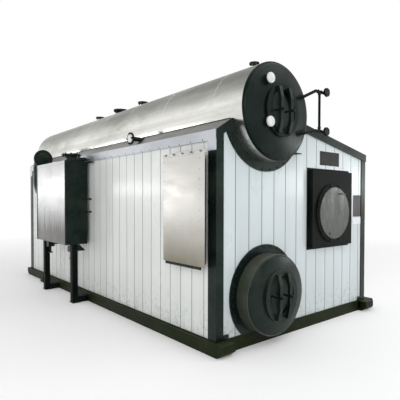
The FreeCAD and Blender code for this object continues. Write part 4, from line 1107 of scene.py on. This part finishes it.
def trims():
    """Each eave trim: its outer face, its outward direction, its lower and its upper edge."""
    low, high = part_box("eave_trim_left")
    yield low[0], -1, EAVE_LEFT_TOP - TRIM_HEIGHT, EAVE_LEFT_TOP
    low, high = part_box("eave_trim_right")
    yield high[0], 1, low[2], high[2]


def trim_laps():
    shape = bmesh.new()
    for x, way, z0, z1 in trims():
        x0, x1 = sorted((x, x + way * 0.0016))
        for y in places_along(FRONT + 1.2, REAR - 0.5, 6 * PLANK_PITCH):
            add_box(shape, (x0, y, z0), (x1, y + 0.05, z1), 0.0005)
    finish_piece("trim_laps", shape, ZINC)


def trim_screws():
    shape = bmesh.new()
    for x, way, z0, _ in trims():
        for y in places_along(LEFT_LINE, REAR - 0.15, PLANK_PITCH):
            add_rivet(shape, Vector((x, y, z0 + 0.015)), X_WAY * way, 0.0075)
    finish_piece("trim_screws", shape, DARK_BOLT)


def collar_screws():
    shape = bmesh.new()
    walls = ((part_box("wall_front")[0][1] - END_WALL_SCREW, -Y_WAY),
             (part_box("wall_rear")[1][1] + END_WALL_SCREW, Y_WAY))
    for axis, radius, start, end in ((STEAM_AXIS, JACKET_RADIUS + 0.085, 205, 335),
                                     (MUD_AXIS, MUD_RADIUS + 0.075, -40, 220)):
        for y, way in walls:
            for degrees in range(start, end, 12):
                a = math.radians(degrees)
                spot = (axis.x + radius * math.cos(a), y, axis.z + radius * math.sin(a))
                add_bolt(shape, Vector(spot), way, 0.014)
    finish_piece("collar_screws", shape, DARK_BOLT)


roof_seams()
roof_sealant()
trim_laps()
trim_screws()
collar_screws()

# %% [markdown]
# ## Frame details
# Small blocks stand beside the foot of each corner post, gussets join the economizer's legs to
# its floor, and each leg has a foot plate with two bolts. They are small, but the corners look
# unfinished without them.

# %% Post feet, gussets and foot plates
BLOCK_WIDE, BLOCK_TALL = 0.075, 0.05
GUSSET_REACH, GUSSET_THICK = 0.11, 0.01
FOOT_LONG, FOOT_HALF, FOOT_THICK = 0.13, 0.07, 0.012
LEGS = ("economizer_leg_front", "economizer_leg_rear")


def post_feet():
    shape = bmesh.new()
    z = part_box("floor_plate")[1][2]
    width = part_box("post_front_left")[1][0] - LEFT
    for y0, y1 in ((FRONT - 0.004, FRONT + 0.012), (REAR - 0.012, REAR + 0.004)):
        for x in (LEFT + width, RIGHT - width - BLOCK_WIDE):
            add_box(shape, (x, y0, z), (x + BLOCK_WIDE, y1, z + BLOCK_TALL), 0.003)
    finish_piece("post_feet", shape, ENAMEL)


def leg_gussets():
    shape = bmesh.new()
    upright = Matrix.Rotation(math.pi / 2, 3, "X")
    for low, high in map(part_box, LEGS):
        for y in (low[1], high[1] - GUSSET_THICK):
            made = bmesh.ops.create_cone(shape, cap_ends=True, segments=3, radius1=GUSSET_REACH,
                                         radius2=GUSSET_REACH, depth=GUSSET_THICK)
            bmesh.ops.rotate(shape, verts=made["verts"], matrix=upright)
            bmesh.ops.translate(shape, verts=made["verts"],
                                vec=(low[0] + 0.12, y + GUSSET_THICK / 2, ECO_LOW.z - 0.05))
    for vert in shape.verts:
        vert.co.z = min(vert.co.z, ECO_LOW.z)
    close(shape)
    finish_piece("leg_gussets", shape, ENAMEL)


def foot_plates():
    shape = bmesh.new()
    for leg in LEGS:
        x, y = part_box(leg)[0][0], middle(leg).y
        add_box(shape, (x, y - FOOT_HALF, 0.0), (x + FOOT_LONG, y + FOOT_HALF, FOOT_THICK), 0.002)
        for side in (-0.057, 0.057):
            add_bolt(shape, Vector((x + 0.105, y + side, FOOT_THICK)), Z_WAY, 0.018)
    finish_piece("foot_plates", shape, SKID)


post_feet()
leg_gussets()
foot_plates()
